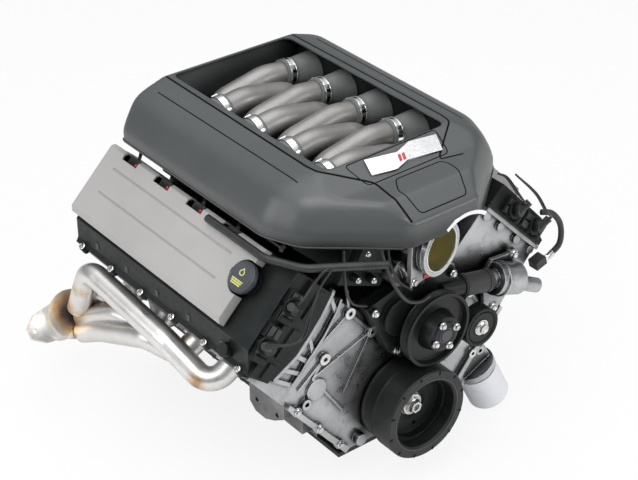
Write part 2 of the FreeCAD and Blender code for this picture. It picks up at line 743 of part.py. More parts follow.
def oil_cap():
    n0 = 426.8
    cap = fuse([cyl((-32, -476, n0), (0, 0, 1), 28, 11), cyl((-32, -476, n0 + 11), (0, 0, 1), 24, 3),
                box(-35, -29, -506, -500, n0, n0 + 11), box(-35, -29, -452, -446, n0, n0 + 11),
                cyl((-32, -476, n0 - 14), (0, 0, 1), 15.7, 15)])
    return bank(cap, -1)


def on_hose(k):
    a, b = V(92, -569, 201), V(196, -571, 180)
    p = a + (b - a) * k
    return p.x, p.y, p.z


def water_pump_housing():
    pts = [(-98, 236), (-70, 178), (-48, 128), (-20, 104), (70, 92), (100, 128), (112, 196), (98, 246), (20, 268)]
    y0 = COVER_Y - 7.2
    plate = xz(pts, y0 - 24, y0)
    snout = ycyl(SPINDLE[0], SPINDLE[1], 44, -588, y0)
    boss = [ycyl(x, z, 9, y0 - 30, y0) for x, z in ((-84, 226), (-34, 128), (86, 112), (92, 236))]
    volute = ycyl(-28, 198, 36, y0 - 34, y0)
    outlet = bar(on_hose(-0.25), on_hose(0.4), 18)
    body = fuse([plate, snout, volute, outlet] + boss)
    tools = [ycyl(SPINDLE[0], SPINDLE[1], 34, -572, y0 + 1), ycyl(SPINDLE[0], SPINDLE[1], 9.05, -600, -560),
             bar(on_hose(-0.15), on_hose(0.42), 15)]
    return cut(body, tools)


def water_pump_rotor():
    x, z = SPINDLE
    parts = [ycyl(x, z, 9.0, -600, -550), ycyl(x, z, 14, -569, -552)]
    for i in range(6):
        blade = box(x + 8, x + 31, -568, -552, z - 1.5, z + 1.5)
        blade.rotate(V(x, 0, z), V(0, 1, 0), 60 * i)
        parts.append(blade)
    parts.append(ycyl(x, z, 16, -606, -596))
    return fuse(parts)


def pump_pulley():
    x, z = SPINDLE
    profile = [(0, -628), (24, -628), (27, -625), (33, -624), (40, -600), (62, -600), (66, -610),
               (71, -610), (71, -607)]
    for i in range(4):
        y = -604.5 + 3.6 * i
        profile += [(67.5, y), (70, y + 1.8)]
    profile += [(71, -590), (66, -590), (64, -596), (38, -596), (30, -606.2), (0, -606.2)]
    return revolve(profile, x, z).cut(
        [ycyl(x + 25 * cos(radians(a)), z + 25 * sin(radians(a)), 3.1, -640, -600) for a in (20, 110, 200, 290)])


def pulley_bolts():
    x, z = SPINDLE
    out = []
    for a in (20, 110, 200, 290):
        bx, bz = x + 25 * cos(radians(a)), z + 25 * sin(radians(a))
        out.append(hex_bolt((bx, -628.3, bz), (0, -1, 0), 3.0, 20, 5.2))
    return group(out)


def idler_pulley():
    profile = [(9, -600), (30, -600), (33, -603), (38, -603), (38, -577), (33, -577), (30, -580), (9, -580)]
    return revolve(profile, *IDLER)


def water_neck():
    y0 = COVER_Y - 0.2
    base = xz([(196, 96), (226, 94), (268, 176), (268, 204), (206, 208), (184, 180)], y0 - 16, y0 - 8)
    pad = xz([(206, 116), (224, 114), (254, 176), (248, 194), (212, 196), (198, 172)], y0 - 9, y0)
    drum = bar((196, y0 - 31, 180), (252, y0 - 33, 160), 30)
    rib = bar((208, y0 - 31.5, 175.7), (214, y0 - 31.7, 173.6), 32.5)
    inlet = bar(on_hose(0.62), on_hose(1.05), 18)
    stub = bar((236, y0 - 34, 160), (296, y0 - 44, 132), 14)
    ears = [ycyl(258, 201, 10, y0 - 18, y0 - 8), ycyl(214, 104, 10, y0 - 18, y0 - 8)]
    body = fuse([base, pad, drum, rib, inlet, stub] + ears)
    tools = [bar(on_hose(0.6), on_hose(1.1), 15), bar((230, y0 - 34, 163), (298, y0 - 44, 131), 11),
             box(150, 330, y0, 0, 50, 260)]
    return cut(body, tools)


def coolant_hose():
    outer, inner = bar(on_hose(0.24), on_hose(0.88), 20.5), bar(on_hose(0.2), on_hose(0.9), 18.2)
    bands = [bar(on_hose(k), on_hose(k + 0.07), 21.6) for k in (0.27, 0.78)]
    return fuse([outer] + bands).cut(inner)


def injector_line(s, y, more):
    a, b = local(s, -103.7 - more * 0.16, 339.35 + more), local(s, -95.3 + more * 0.16, 288 - more)
    return (a[0], y, a[1]), (b[0], y, b[1])


def lower_manifold():
    half = [(0, 372), (198, 372), (198, 362), (150, 318), (134, 291), local(1, -85.3, 290),
            local(1, -85.3, 236), (84, 226), (60, 240), (0, 246)]
    body = xz(mirror_poly(half), -500, -56)
    rails = []
    for s in (-1, 1):
        x0, x1 = sorted((s * 152, s * 192))
        rails.append(box(x0, x1, -482, -62, 371, 462))
    horn = box(-40, 100, -552, -499, 272, 371)
    body = fuse([body, horn] + rails)
    tools = [box(-58, 58, -480, -76, 268, 352), box(-300, 300, -501, -477.6, 200, 262)]
    p, d = THROTTLE, THROTTLE_DIR
    tools.append(Part.makeCylinder(37, 140, p - d * 140, d).common(box(-80, 140, -700, -470, 200, 400)))
    tools.append(Part.makeCylinder(40, 90, p - d * 90, d))
    for i in range(4):
        for s, lane, port in ((-1, FAR[i], RIGHT[i]), (1, NEAR[i], LEFT[i])):
            x, z = local(s, -86, PORT_N)
            tools.append(bar((s * 88, lane, 380), (s * 96, lane, 350), 17))
            tools.append(bar((s * 95, lane, 358), (x + s * 3, port, z - 2), 16))
        for s, port in ((-1, RIGHT[i]), (1, LEFT[i])):
            a, b = injector_line(s, port, 4)
            tools.append(bar(a, b, 6.3))
    return cut(body, tools)


def runner_path(s, y):
    start = 150 if s > 0 else -150
    return [(start - s * 6, y, 432), (s * 40, y, 446), (-s * 62, y, 425), (-s * 88, y, 366)]


def intake_runners():
    out = []
    for s, lanes in ((1, FAR), (-1, NEAR)):
        for y in lanes:
            path = runner_path(s, y)
            outer = tube(path, [90, 44], 22.9)
            inner = tube(path, [90, 44], 20.2)
            body = outer.cut(inner)
            out.append(body.common(box(-170, 170, y - 40, y + 40, 372.1, 500)))
    return group(out)


def boot_frame(s, y):
    a, b = V(*runner_path(s, y)[0]), V(*runner_path(s, y)[1])
    return a, (b - a).normalize()


def runner_boots():
    out = []
    for s, lanes in ((1, FAR), (-1, NEAR)):
        for y in lanes:
            a, d = boot_frame(s, y)
            body = Part.makeCone(35, 26.6, BOOT_REACH - 14, a - d * 12, d)
            collar = Part.makeCylinder(26.6, 27, a + d * (BOOT_REACH - 27), d)
            body = fuse([body, collar])
            body = body.cut([Part.makeCylinder(23.1, 100, a - d * 20, d),
                             box(-230 if s < 0 else 151.8, -151.8 if s < 0 else 230, y - 60, y + 60, 300, 600)])
            out.append(body)
    return group(out)


def runner_clamps():
    out = []
    for s, lanes in ((1, FAR), (-1, NEAR)):
        for y in lanes:
            a, d = boot_frame(s, y)
            p = a + d * (BOOT_REACH - 17)
            band = Part.makeCylinder(27.8, 10, p, d).cut(Part.makeCylinder(26.65, 12, p - d, d))
            screw = Part.makeCylinder(3.2, 14, p + d * 5 + V(0, -7, -30.4), V(0, 1, 0))
            out.append(fuse([band, screw]))
    return group(out)


def meet(p, d, q, e):
    k = ((q[0] - p[0]) * e[1] - (q[1] - p[1]) * e[0]) / (d[0] * e[1] - d[1] * e[0])
    return p[0] + d[0] * k, p[1] + d[1] * k


def cover_levels(grow, drop):
    levels = []
    for z, side, corner in ((380, 0, 0), (408, 0, 0), (436, 13, 10), (465, 35, 28), (485, 91, 62)):
        a, c = side + grow, corner + grow
        m = (a + c) / 2
        p1, d1 = (241 - a, 0), (0, -1)
        p2, d2 = (214 - 0.926 * m, -538 + 0.379 * m), (-0.379, -0.926)
        p3, d3 = (214 - 0.634 * c, -538 + 0.773 * c), (-0.773, -0.634)
        v1, v2 = meet(p1, d1, p2, d2), meet(p2, d2, p3, d3)
        v3 = meet(p3, d3, (0, -650 + grow), (1, 0))
        if v3[0] < 6:
            v3 = meet(p3, d3, (6, 0), (0, 1))
        half = [(241 - a, -48 - grow), v1, v2, v3]
        levels.append((z - drop, [(-x, y) for x, y in half] + half[::-1]))
    return levels


def cover_body(grow, drop):
    wires = []
    for z, pts in cover_levels(grow, drop):
        v = [V(x, y, z) for x, y in pts]
        wires.append(Part.makePolygon(v + [v[0]]))
    parts = [Part.makeLoft([a, b], True, True) for a, b in zip(wires, wires[1:])]
    nose = box(-76 + grow, 76 - grow, -652 + grow, -470, 380 - drop, 486 - drop)
    side = yz([(-44 - grow, 360), (-44 - grow, 485.2 - drop), (-500, 485.2 - drop), (-556, 463 - drop),
               (-606, 459 - drop), (-636, 441 - drop), (-652.2 + grow, 432 - drop), (-652.2 + grow, 360)],
              -260, 260)
    return fuse(parts + [nose]).common(side)


def plenum_cover():
    outer = cover_body(0, 0)
    outer = cut(outer, [xz([(-260, 370), (260, 370), (260, 388), (-260, 388)], -700, 0)])
    inner = fuse([cover_body(3.6, 4.0), box(-237.4, 237.4, -470, -51.6, 370, 400)])
    body = outer.cut(inner)
    window = prism([(-130, -57, 440), (-130, -487, 440), (-117, -500, 440), (117, -500, 440),
                    (130, -487, 440), (130, -57, 440)], (0, 0, 60))
    arch = Part.makeCylinder(63, 130, V(36, -600, 343) + THROTTLE_DIR * 90, THROTTLE_DIR * -1)
    body = body.cut([window, arch])
    add = []
    for s in (-1, 1):
        for y in (-90, -280, -470):
            add.append(cyl((s * 172, y, 462.2), (0, 0, 1), 8, 12))
    lip = Part.makeCylinder(66.5, 8, V(36, -600, 343) + THROTTLE_DIR * 46, THROTTLE_DIR).cut(
        Part.makeCylinder(63, 10, V(36, -600, 343) + THROTTLE_DIR * 45, THROTTLE_DIR))
    lip = lip.common(box(-80, 76, -652.2, -560, 383, 440)).common(outer)
    wall = []
    for s in (-1, 1):
        x0, x1 = sorted((s * 130, s * 133.5))
        wall.append(box(x0, x1, -500, -57, 465.5, 482))
    body = fuse([body, lip] + add + wall)
    grooves = []
    for s in (-1, 1):
        x0, x1 = sorted((s * 177, s * 180))
        grooves.append(box(x0, x1, -490, -86, 473.2, 480))
        x0, x1 = sorted((s * 150.5, s * 153.5))
        grooves.append(box(x0, x1, -490, -44, 482.6, 490))
    return cut(body, grooves)


def cover_badge():
    outline = [(-66, -540), (-18, -547), (14, -538), (84, -545), (96, -514), (40, -508), (6, -518), (-58, -510)]
    plate = prism([(x, y, 470) for x, y in outline], (0, 0, 20))
    return plate.common(yz([(-500, 485.4), (-556, 463.2), (-556, 466.2), (-500, 488.4)], -100, 100))


def throttle_body():
    p, d = THROTTLE, THROTTLE_DIR
    tubes = Part.makeCylinder(50, 10, p - d * 10, d)
    barrel = Part.makeCylinder(46, 58, p - d * 62, d)
    flange = Part.makeBox(116, 10, 116, V(-58, -5, -58))
    flange.rotate(V(0, 0, 0), V(0, 0, 1), 12)
    flange.translate(p - d * 24)
    motor = Part.makeCylinder(24, 60, p - d * 40 + V(-56, -12, -36), V(-0.1, 0.95, 0))
    link = Part.makeCylinder(20, 46, p - d * 36 + V(-60, 0, -36), V(1, 0.2, 0.4))
    body = fuse([tubes, barrel, flange, motor, link])
    side = V(cos(radians(12)), sin(radians(12)), 0)
    tools = [Part.makeCylinder(40, 100, p - d * 90, d),
             Part.makeCylinder(4.05, 120, p - d * 42 - side * 60, side),
             box(-80, 160, -552.2, -400, 200, 420)]
    for a, b in ((-50, -50), (50, -50), (-50, 50), (50, 50)):
        tools.append(Part.makeCylinder(3.6, 30, p - d * 34 + side * a + V(0, 0, b), d))
    return cut(body, tools)


def throttle_plate():
    p, d = THROTTLE, THROTTLE_DIR
    side = V(cos(radians(12)), sin(radians(12)), 0)
    disc = Part.makeCylinder(39.6, 2.4, p - d * 43.2, d)
    shaft = Part.makeCylinder(4.0, 96, p - d * 42 - side * 46, side)
    return fuse([disc, shaft])


def fuel_rails():
    out = []
    for s, ys in ((-1, RIGHT), (1, LEFT)):
        x, z = local(s, -105, 347)
        rail = ycyl(x, z, 7.5, ys[3] - 25, ys[0] + 25)
        lugs = [bar((x, y + 50, z), (x - s * 12, y + 50, z - 12), 5) for y in ys[1:3]]
        out.append(fuse([rail] + lugs))
    return group(out)


def injectors():
    out = []
    for s, ys in ((-1, RIGHT), (1, LEFT)):
        for y in ys:
            a, b = injector_line(s, y, 0)
            out.append(bar(a, b, 6.0))
    return group(out)


def header(side):
    ys = RIGHT
    x0, z0 = local(-1, 107, PORT_N)
    ports = [(x0, y, z0) for y in ys]
    mouth = V(-350, 49, -17)
    d = V(0, 0.77, -0.64).normalize()
    face = mouth - d * 84
    runs = [([ports[3], (-306, -402, 72), (-330, -300, 128), (-346, -84, 168), (-347, -34, 60)], [34, 60, 34]),
            ([ports[2], (-300, -304, 84), (-330, -240, 100), (-340, -96, 40), (-344, -40, 8)], [30, 40, 40]),
            ([ports[1], (-292, -204, 84), (-318, -120, 80), (-338, -30, 34)], [30, 40]),
            ([ports[0], (-290, -106, 88), (-312, -52, 96), (-332, -16, 52)], [26, 26])]
    parts = [tube(p, r, 22) for p, r in runs]
    cores = [tube(p, r, 19.5) for p, r in runs]
    cone = Part.makeCone(48, 37, 62, face, d)
    pipe = Part.makeCylinder(37, 26, mouth - d * 26, d)
    flange_pts = [(-62, -10), (-40, -30), (30, -44), (52, -20), (40, 34), (-34, 30), (-62, 12)]
    u, w = V(1, 0, 0), d.cross(V(1, 0, 0))
    loop = [mouth + u * a + w * b for a, b in flange_pts]
    plate = Part.Face(Part.makePolygon(loop + [loop[0]])).extrude(d * 9)
    cores += [Part.makeCone(45, 34, 62.5, face, d).common(Part.makeCone(46, 34.5, 56, face + d * 8, d)),
              Part.makeCylinder(34, 60, mouth - d * 30, d)]
    for a, b in ((-50, 0), (40, -26)):
        cores.append(Part.makeCylinder(5.3, 20, mouth + u * a + w * b - d * 2, d))
    body = fuse(parts + [cone, pipe, plate])
    plates = []
    for y in ys:
        tab = xz([(106.5, PORT_N - 24), (112.5, PORT_N - 24), (112.5, PORT_N + 26), (106.5, PORT_N + 26)],
                 y - 41, y + 41)
        plates.append(bank(tab, -1))
    body = fuse([body] + plates).cut(cores)
    trim = bank(box(60, 106.45, -500, -20, 200, 330), -1)
    holes = [bank(cyl((100, y + dy, PORT_N + 2), (1, 0, 0), 4.5, 20), -1) for y in ys for dy in (-32, 32)]
    body = body.cut([trim] + holes)
    if side > 0:
        body = moved(body.mirror(V(0, 0, 0), V(1, 0, 0)), y=STAGGER)
    return body


def wiring_harness():
    x, z = local(-1, -78, 440.4)
    main = tube([(x, -340, z), (x, -500, z), (-226, -566, 368), (-160, -612, 370), (-112, -640, 368)],
                [40, 50, 60], 7)
    out = [main]
    for side, ys in ((-1, RIGHT), (1, LEFT)):
        for y in ys:
            plug = fuse([box(-91, -76.5, y + 4, y + 34, 412.5, 424)])
            out.append(bank(plug, side))
        for s in (-1, 1):
            d = V(0, -1, 0.25).normalize()
            p = V(s * CAM_T, -541, CAM_N + 38) + d * 26.2
            con = fuse([Part.makeCylinder(11, 12, p, d), Part.makeCylinder(7, 22, p + d * 8.2, V(0, -0.3, 1))])
            out.append(bank(con, side))
    return group(out)


def flange_bolts():
    out = []
    for side, ys in ((-1, RIGHT), (1, LEFT)):
        for y in RAIL_BOLTS:
            out.append(bank(hex_bolt((98, y, HEAD_N + 0.4 + PAD_H), (0, 0, 1), 3.2, 8, 4.9), side))
        for y in ys:
            for dy in (-32, 32):
                out.append(bank(hex_bolt((112.7, y + dy, PORT_N + 2), (1, 0, 0), 4.3, 5.8, 6), side))
    for s in (-1, 1):
        for x, z in ((134, -48), (180, 9), (228, 68)):
            if s < 0 or x > 200:
                out.append(hex_bolt((s * x, COVER_Y - 8.1, z), (0, -1, 0), 3.2, 10, 5.2))
        for x, y in [(126, -60 - 92 * i) for i in range(5)]:
            out.append(hex_bolt((s * x, y, -84.1), (0, 0, -1), 2.6, 0.05, 4.6))
    for x, z in ((-84, 226), (-34, 128), (86, 112), (92, 236)):
        out.append(hex_bolt((x, COVER_Y - 37.4, z), (0, -1, 0), 3.0, 0.05, 5.2))
    for x, z in ((258, 201), (214, 104)):
        out.append(hex_bolt((x, COVER_Y - 18.4, z), (0, -1, 0), 3.4, 0.05, 6))
    p, d = THROTTLE, THROTTLE_DIR
    side = V(cos(radians(12)), sin(radians(12)), 0)
    for a, b in ((-50, -50), (50, -50), (-50, 50), (50, 50)):
        q = p - d * 18.8 + side * a + V(0, 0, b)
        out.append(hex_bolt((q.x, q.y, q.z), (d.x, d.y, d.z), 3.4, 12, 5.2))
    out.append(hex_bolt((IDLER[0], -600.4, IDLER[1]), (0, -1, 0), 5.0, 45, 10))
    spacer = ycyl(IDLER[0], IDLER[1], 8.95, -600.3, -574.2).cut(ycyl(IDLER[0], IDLER[1], 5.1, -610, -570))
    out.append(spacer)
    return group(out)


def main():
    save(engine_block(), "engine_block")
    save(cylinder_liners(), "cylinder_liners")
    save(main_caps(), "main_caps")
    save(structural_bolts(), "structural_bolts")
    save(main_bearings(), "main_bearings")
    save(crankshaft(), "crankshaft")
    save(crank_sprocket(), "crank_sprocket")
    save(damper_hub(), "damper_hub")
    save(damper_ring(), "damper_ring")
    save(damper_bolt(), "damper_bolt")
    save(per_cylinder(piston), "pistons")
    save(per_cylinder(rings), "piston_rings")
    save(per_cylinder(wrist_pin), "wrist_pins")
    save(connecting_rods(), "connecting_rods")
    save(group(both(cylinder_head)), "cylinder_heads")
    save(gaskets(), "gaskets")
    save(valves(), "valves")
    save(valve_springs(), "valve_springs")
    save(cam_followers(), "cam_followers")
    save(cam_caps(), "cam_caps")
    for side, name in ((-1, "right"), (1, "left")):
        for s, kind in ((-1, "intake"), (1, "exhaust")):
            save(camshaft(side, s), "camshaft_%s_%s" % (name, kind))
            save(phaser(side, s), "phaser_%s_%s" % (name, kind))
    save(timing_chains(), "timing_chains")
    save(chain_guides(), "chain_guides")
    save(timing_cover(), "timing_cover")
    save(oil_pan(), "oil_pan")
    save(oil_pump(), "oil_pump")
    save(oil_filter(), "oil_filter")
    save(filter_adapter(), "filter_adapter")
    save(group([bank(cam_cover(RIGHT, True), -1), bank(cam_cover(LEFT, False), 1)]), "cam_covers")
    save(group([bank(coil_cover(RIGHT, True), -1), bank(coil_cover(LEFT, False), 1)]), "coil_covers")
    save(ignition_coils(), "ignition_coils")
    save(spark_plugs(), "spark_plugs")
    save(oil_cap(), "oil_cap")
    save(water_pump_housing(), "water_pump_housing")
    save(water_pump_rotor(), "water_pump_rotor")
    save(pump_pulley(), "pump_pulley")
    save(pulley_bolts(), "pulley_bolts")
    save(idler_pulley(), "idler_pulley")
    save(water_neck(), "water_neck")
    save(coolant_hose(), "coolant_hose")
    save(lower_manifold(), "lower_manifold")
    save(intake_runners(), "intake_runners")
    save(runner_boots(), "runner_boots")
    save(runner_clamps(), "runner_clamps")
    save(plenum_cover(), "plenum_cover")
    save(cover_badge(), "cover_badge")
    save(throttle_body(), "throttle_body")
    save(throttle_plate(), "throttle_plate")
    save(fuel_rails(), "fuel_rails")
    save(injectors(), "injectors")
    save(group([header(-1), header(1)]), "exhaust_headers")
    save(wiring_harness(), "wiring_harness")
    save(flange_bolts(), "flange_bolts")


main()
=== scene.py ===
import math
import bpy
import bmesh
from mathutils import Matrix, Vector
from mathutils.bvhtree import BVHTree


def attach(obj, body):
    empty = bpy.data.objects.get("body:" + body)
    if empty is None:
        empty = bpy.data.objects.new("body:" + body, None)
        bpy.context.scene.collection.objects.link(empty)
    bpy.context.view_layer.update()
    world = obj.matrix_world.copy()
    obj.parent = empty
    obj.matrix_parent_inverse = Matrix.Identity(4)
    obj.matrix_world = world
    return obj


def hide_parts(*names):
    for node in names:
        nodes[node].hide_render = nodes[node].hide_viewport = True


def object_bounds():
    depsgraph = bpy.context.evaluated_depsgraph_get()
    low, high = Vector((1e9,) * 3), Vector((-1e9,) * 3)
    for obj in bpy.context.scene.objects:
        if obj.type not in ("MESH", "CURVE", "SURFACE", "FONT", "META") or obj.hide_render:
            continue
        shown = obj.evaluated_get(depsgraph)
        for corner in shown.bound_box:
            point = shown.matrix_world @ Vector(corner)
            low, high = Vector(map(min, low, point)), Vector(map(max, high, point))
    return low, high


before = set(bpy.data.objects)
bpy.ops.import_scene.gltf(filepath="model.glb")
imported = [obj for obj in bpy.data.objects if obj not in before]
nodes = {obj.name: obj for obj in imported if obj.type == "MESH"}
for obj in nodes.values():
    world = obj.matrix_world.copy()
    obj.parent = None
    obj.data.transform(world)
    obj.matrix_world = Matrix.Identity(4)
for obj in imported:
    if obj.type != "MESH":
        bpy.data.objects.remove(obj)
cad_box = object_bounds()
MM = 0.001
S2 = math.sqrt(2.0)
RIGHT = [-110.0 - 100 * i for i in range(4)]
LEFT = [-92.0 - 100 * i for i in range(4)]
HEAD_N = 365.0
COVER_FACE = -547.5
PORT_N = 262.0


def V(*p):
    return Vector(p)


def rb(t, y, n):
    return Vector((-(n + t) / S2, y, (n - t) / S2))


def lb(t, y, n):
    return Vector(((n + t) / S2, y, (n - t) / S2))


RT, RN = V(-1, 0, -1) / S2, V(-1, 0, 1) / S2
LT, LN = V(1, 0, -1) / S2, V(1, 0, 1) / S2


# Shaders

def new_material(name):
    m = bpy.data.materials.new(name)
    m.use_nodes = True
    m.node_tree.nodes.clear()
    return m, m.node_tree.nodes, m.node_tree.links


def coords(n, l, scale=(1, 1, 1), rot=(0, 0, 0)):
    tc = n.new("ShaderNodeTexCoord")
    mp = n.new("ShaderNodeMapping")
    mp.inputs["Scale"].default_value = scale
    mp.inputs["Rotation"].default_value = rot
    l.new(tc.outputs["Object"], mp.inputs["Vector"])
    return mp.outputs["Vector"]


def noise(n, l, vec, scale, detail=4.0, rough=0.55):
    t = n.new("ShaderNodeTexNoise")
    t.inputs["Scale"].default_value = scale
    t.inputs["Detail"].default_value = detail
    t.inputs["Roughness"].default_value = rough
    l.new(vec, t.inputs["Vector"])
    return t.outputs["Fac"]


def bands(n, l, vec, scale, direction="X", distortion=0.0):
    t = n.new("ShaderNodeTexWave")
    t.wave_type = "BANDS"
    t.bands_direction = direction
    t.inputs["Scale"].default_value = scale
    t.inputs["Distortion"].default_value = distortion
    l.new(vec, t.inputs["Vector"])
    return t.outputs["Fac"]


def ramp(n, l, fac, stops):
    r = n.new("ShaderNodeValToRGB")
    el = r.color_ramp.elements
    while len(el) < len(stops):
        el.new(0.5)
    for e, (pos, col) in zip(el, stops):
        e.position = pos
        e.color = (col[0], col[1], col[2], 1)
    l.new(fac, r.inputs["Fac"])
    return r.outputs["Color"]


def spread(n, l, fac, low, high, a=0.3, b=0.7):
    r = n.new("ShaderNodeMapRange")
    r.inputs["From Min"].default_value = a
    r.inputs["From Max"].default_value = b
    r.inputs["To Min"].default_value = low
    r.inputs["To Max"].default_value = high
    l.new(fac, r.inputs["Value"])
    return r.outputs["Result"]


def mix(n, l, fac, a, b):
    m = n.new("ShaderNodeMix")
    m.data_type = "RGBA"
    l.new(fac, m.inputs["Factor"])
    for key, val in (("A", a), ("B", b)):
        if isinstance(val, tuple):
            m.inputs[key].default_value = (val[0], val[1], val[2], 1)
        else:
            l.new(val, m.inputs[key])
    return m.outputs["Result"]


def add_bump(n, l, height, strength, distance, normal=None):
    b = n.new("ShaderNodeBump")
    b.inputs["Strength"].default_value = strength
    b.inputs["Distance"].default_value = distance
    l.new(height, b.inputs["Height"])
    if normal is not None:
        l.new(normal, b.inputs["Normal"])
    return b.outputs["Normal"]


def soft_edges(n, radius):
    b = n.new("ShaderNodeBevel")
    b.samples = 4
    b.inputs["Radius"].default_value = radius
    return b.outputs["Normal"]


def rubbed_and_highlit_edges(n, l, radius, low, high):
    """Bright where the surface turns sharply: the rounded normal leaves the flat one there. Stands for rubbed
    wear and a painted highlight along the edges.
    """
    bev = n.new("ShaderNodeBevel")
    bev.samples = 4
    bev.inputs["Radius"].default_value = radius
    geo = n.new("ShaderNodeNewGeometry")
    dot = n.new("ShaderNodeVectorMath")
    dot.operation = "DOT_PRODUCT"
    l.new(bev.outputs["Normal"], dot.inputs[0])
    l.new(geo.outputs["Normal"], dot.inputs[1])
    return spread(n, l, dot.outputs["Value"], high, low, 0.86, 0.985)


def finish_material(name, dark, light, rough, metal=0.0, patch=9.0, grain=900.0, grain_depth=0.00008,
                    grain_strength=0.25, edge=0.0012, coat=0.0, stretch=(1, 1, 1), sheen=0.0,
                    specular=0.5, edge_rub_and_highlight=None, spots=None, ribs=None, rough_span=0.08, painted_cavity_shade=None,
                    painted_low_shade=None):
    m, n, l = new_material(name)
    out = n.new("ShaderNodeOutputMaterial")
    p = n.new("ShaderNodeBsdfPrincipled")
    vec = coords(n, l, stretch)
    col = ramp(n, l, noise(n, l, vec, patch, 5.0), [(0.3, dark), (0.7, light)])
    if spots:
        mark = spread(n, l, noise(n, l, vec, spots[1], 6.0, 0.7), 0.0, spots[2], 0.52, 0.72)
        col = mix(n, l, mark, col, spots[0])
    # painted shade: darker colour low on the front of the cover, under its lip
    if painted_low_shade:
        sep = n.new("ShaderNodeSeparateXYZ")
        l.new(vec, sep.inputs[0])
        low = n.new("ShaderNodeMath")
        low.operation = "MULTIPLY"
        l.new(spread(n, l, sep.outputs["Z"], 1.0, 0.0, painted_low_shade[1], painted_low_shade[2]), low.inputs[0])
        l.new(spread(n, l, sep.outputs["Y"], 1.0, 0.0, -0.56, -0.48), low.inputs[1])
        col = mix(n, l, low.outputs[0], col, painted_low_shade[0])
    # painted shade: darker colour in pockets and corners, from ambient occlusion
    if painted_cavity_shade:
        ao = n.new("ShaderNodeAmbientOcclusion")
        ao.samples = 6
        ao.inputs["Distance"].default_value = painted_cavity_shade[1]
        col = mix(n, l, spread(n, l, ao.outputs["AO"], 1.0, 0.0, painted_cavity_shade[2], 0.97), col, painted_cavity_shade[0])
    # lighter colour along sharp edges: partly rubbed wear, partly painted highlight
    if edge_rub_and_highlight:
        col = mix(n, l, rubbed_and_highlit_edges(n, l, edge_rub_and_highlight[1], 0.0, edge_rub_and_highlight[2]), col, edge_rub_and_highlight[0])
    l.new(col, p.inputs["Base Color"])
    l.new(spread(n, l, noise(n, l, vec, patch * 4, 4.0), rough - rough_span, rough + rough_span),
          p.inputs["Roughness"])
    p.inputs["Metallic"].default_value = metal
    p.inputs["Coat Weight"].default_value = coat
    p.inputs["Coat Roughness"].default_value = 0.22
    p.inputs["Specular IOR Level"].default_value = specular
    p.inputs["Sheen Weight"].default_value = sheen
    normal = soft_edges(n, edge) if edge else None
    if ribs:
        normal = add_bump(n, l, bands(n, l, vec, ribs[1], ribs[0]), ribs[2], ribs[3], normal)
    l.new(add_bump(n, l, noise(n, l, vec, grain, 3.0), grain_strength, grain_depth, normal),
          p.inputs["Normal"])
    l.new(p.outputs["BSDF"], out.inputs["Surface"])
    return m


def woven_metal():
    m, n, l = new_material("runner_satin")
    out = n.new("ShaderNodeOutputMaterial")
    p = n.new("ShaderNodeBsdfPrincipled")
    vec = coords(n, l)
    patch = noise(n, l, vec, 14, 5)
    col = ramp(n, l, patch, [(0.3, (0.235, 0.228, 0.222)), (0.7, (0.330, 0.322, 0.314))])
    fleck = noise(n, l, vec, 620, 2.0)
    col = mix(n, l, spread(n, l, fleck, 0.0, 0.3, 0.5, 0.75), col, (0.44, 0.42, 0.40))
    l.new(col, p.inputs["Base Color"])
    p.inputs["Metallic"].default_value = 0.62
    l.new(spread(n, l, noise(n, l, vec, 60, 4), 0.33, 0.46), p.inputs["Roughness"])
    a = bands(n, l, vec, 260, "DIAGONAL")
    b = bands(n, l, coords(n, l, (1, -1, 1)), 260, "DIAGONAL")
    weave = n.new("ShaderNodeMath")
    weave.operation = "MULTIPLY"
    l.new(a, weave.inputs[0])
    l.new(b, weave.inputs[1])
    first = add_bump(n, l, weave.outputs[0], 0.35, 0.00012)
    l.new(add_bump(n, l, noise(n, l, vec, 1500, 3.0), 0.3, 0.00008, first), p.inputs["Normal"])
    l.new(p.outputs["BSDF"], out.inputs["Surface"])
    return m


WELDS = [((-303, -96, 97), 34), ((-347, -60, 128), 30), ((-300, -300, 100), 26), ((-350, 0, 30), 56),
         ((-340, -32, 66), 40), ((-318, -384, 84), 24)]


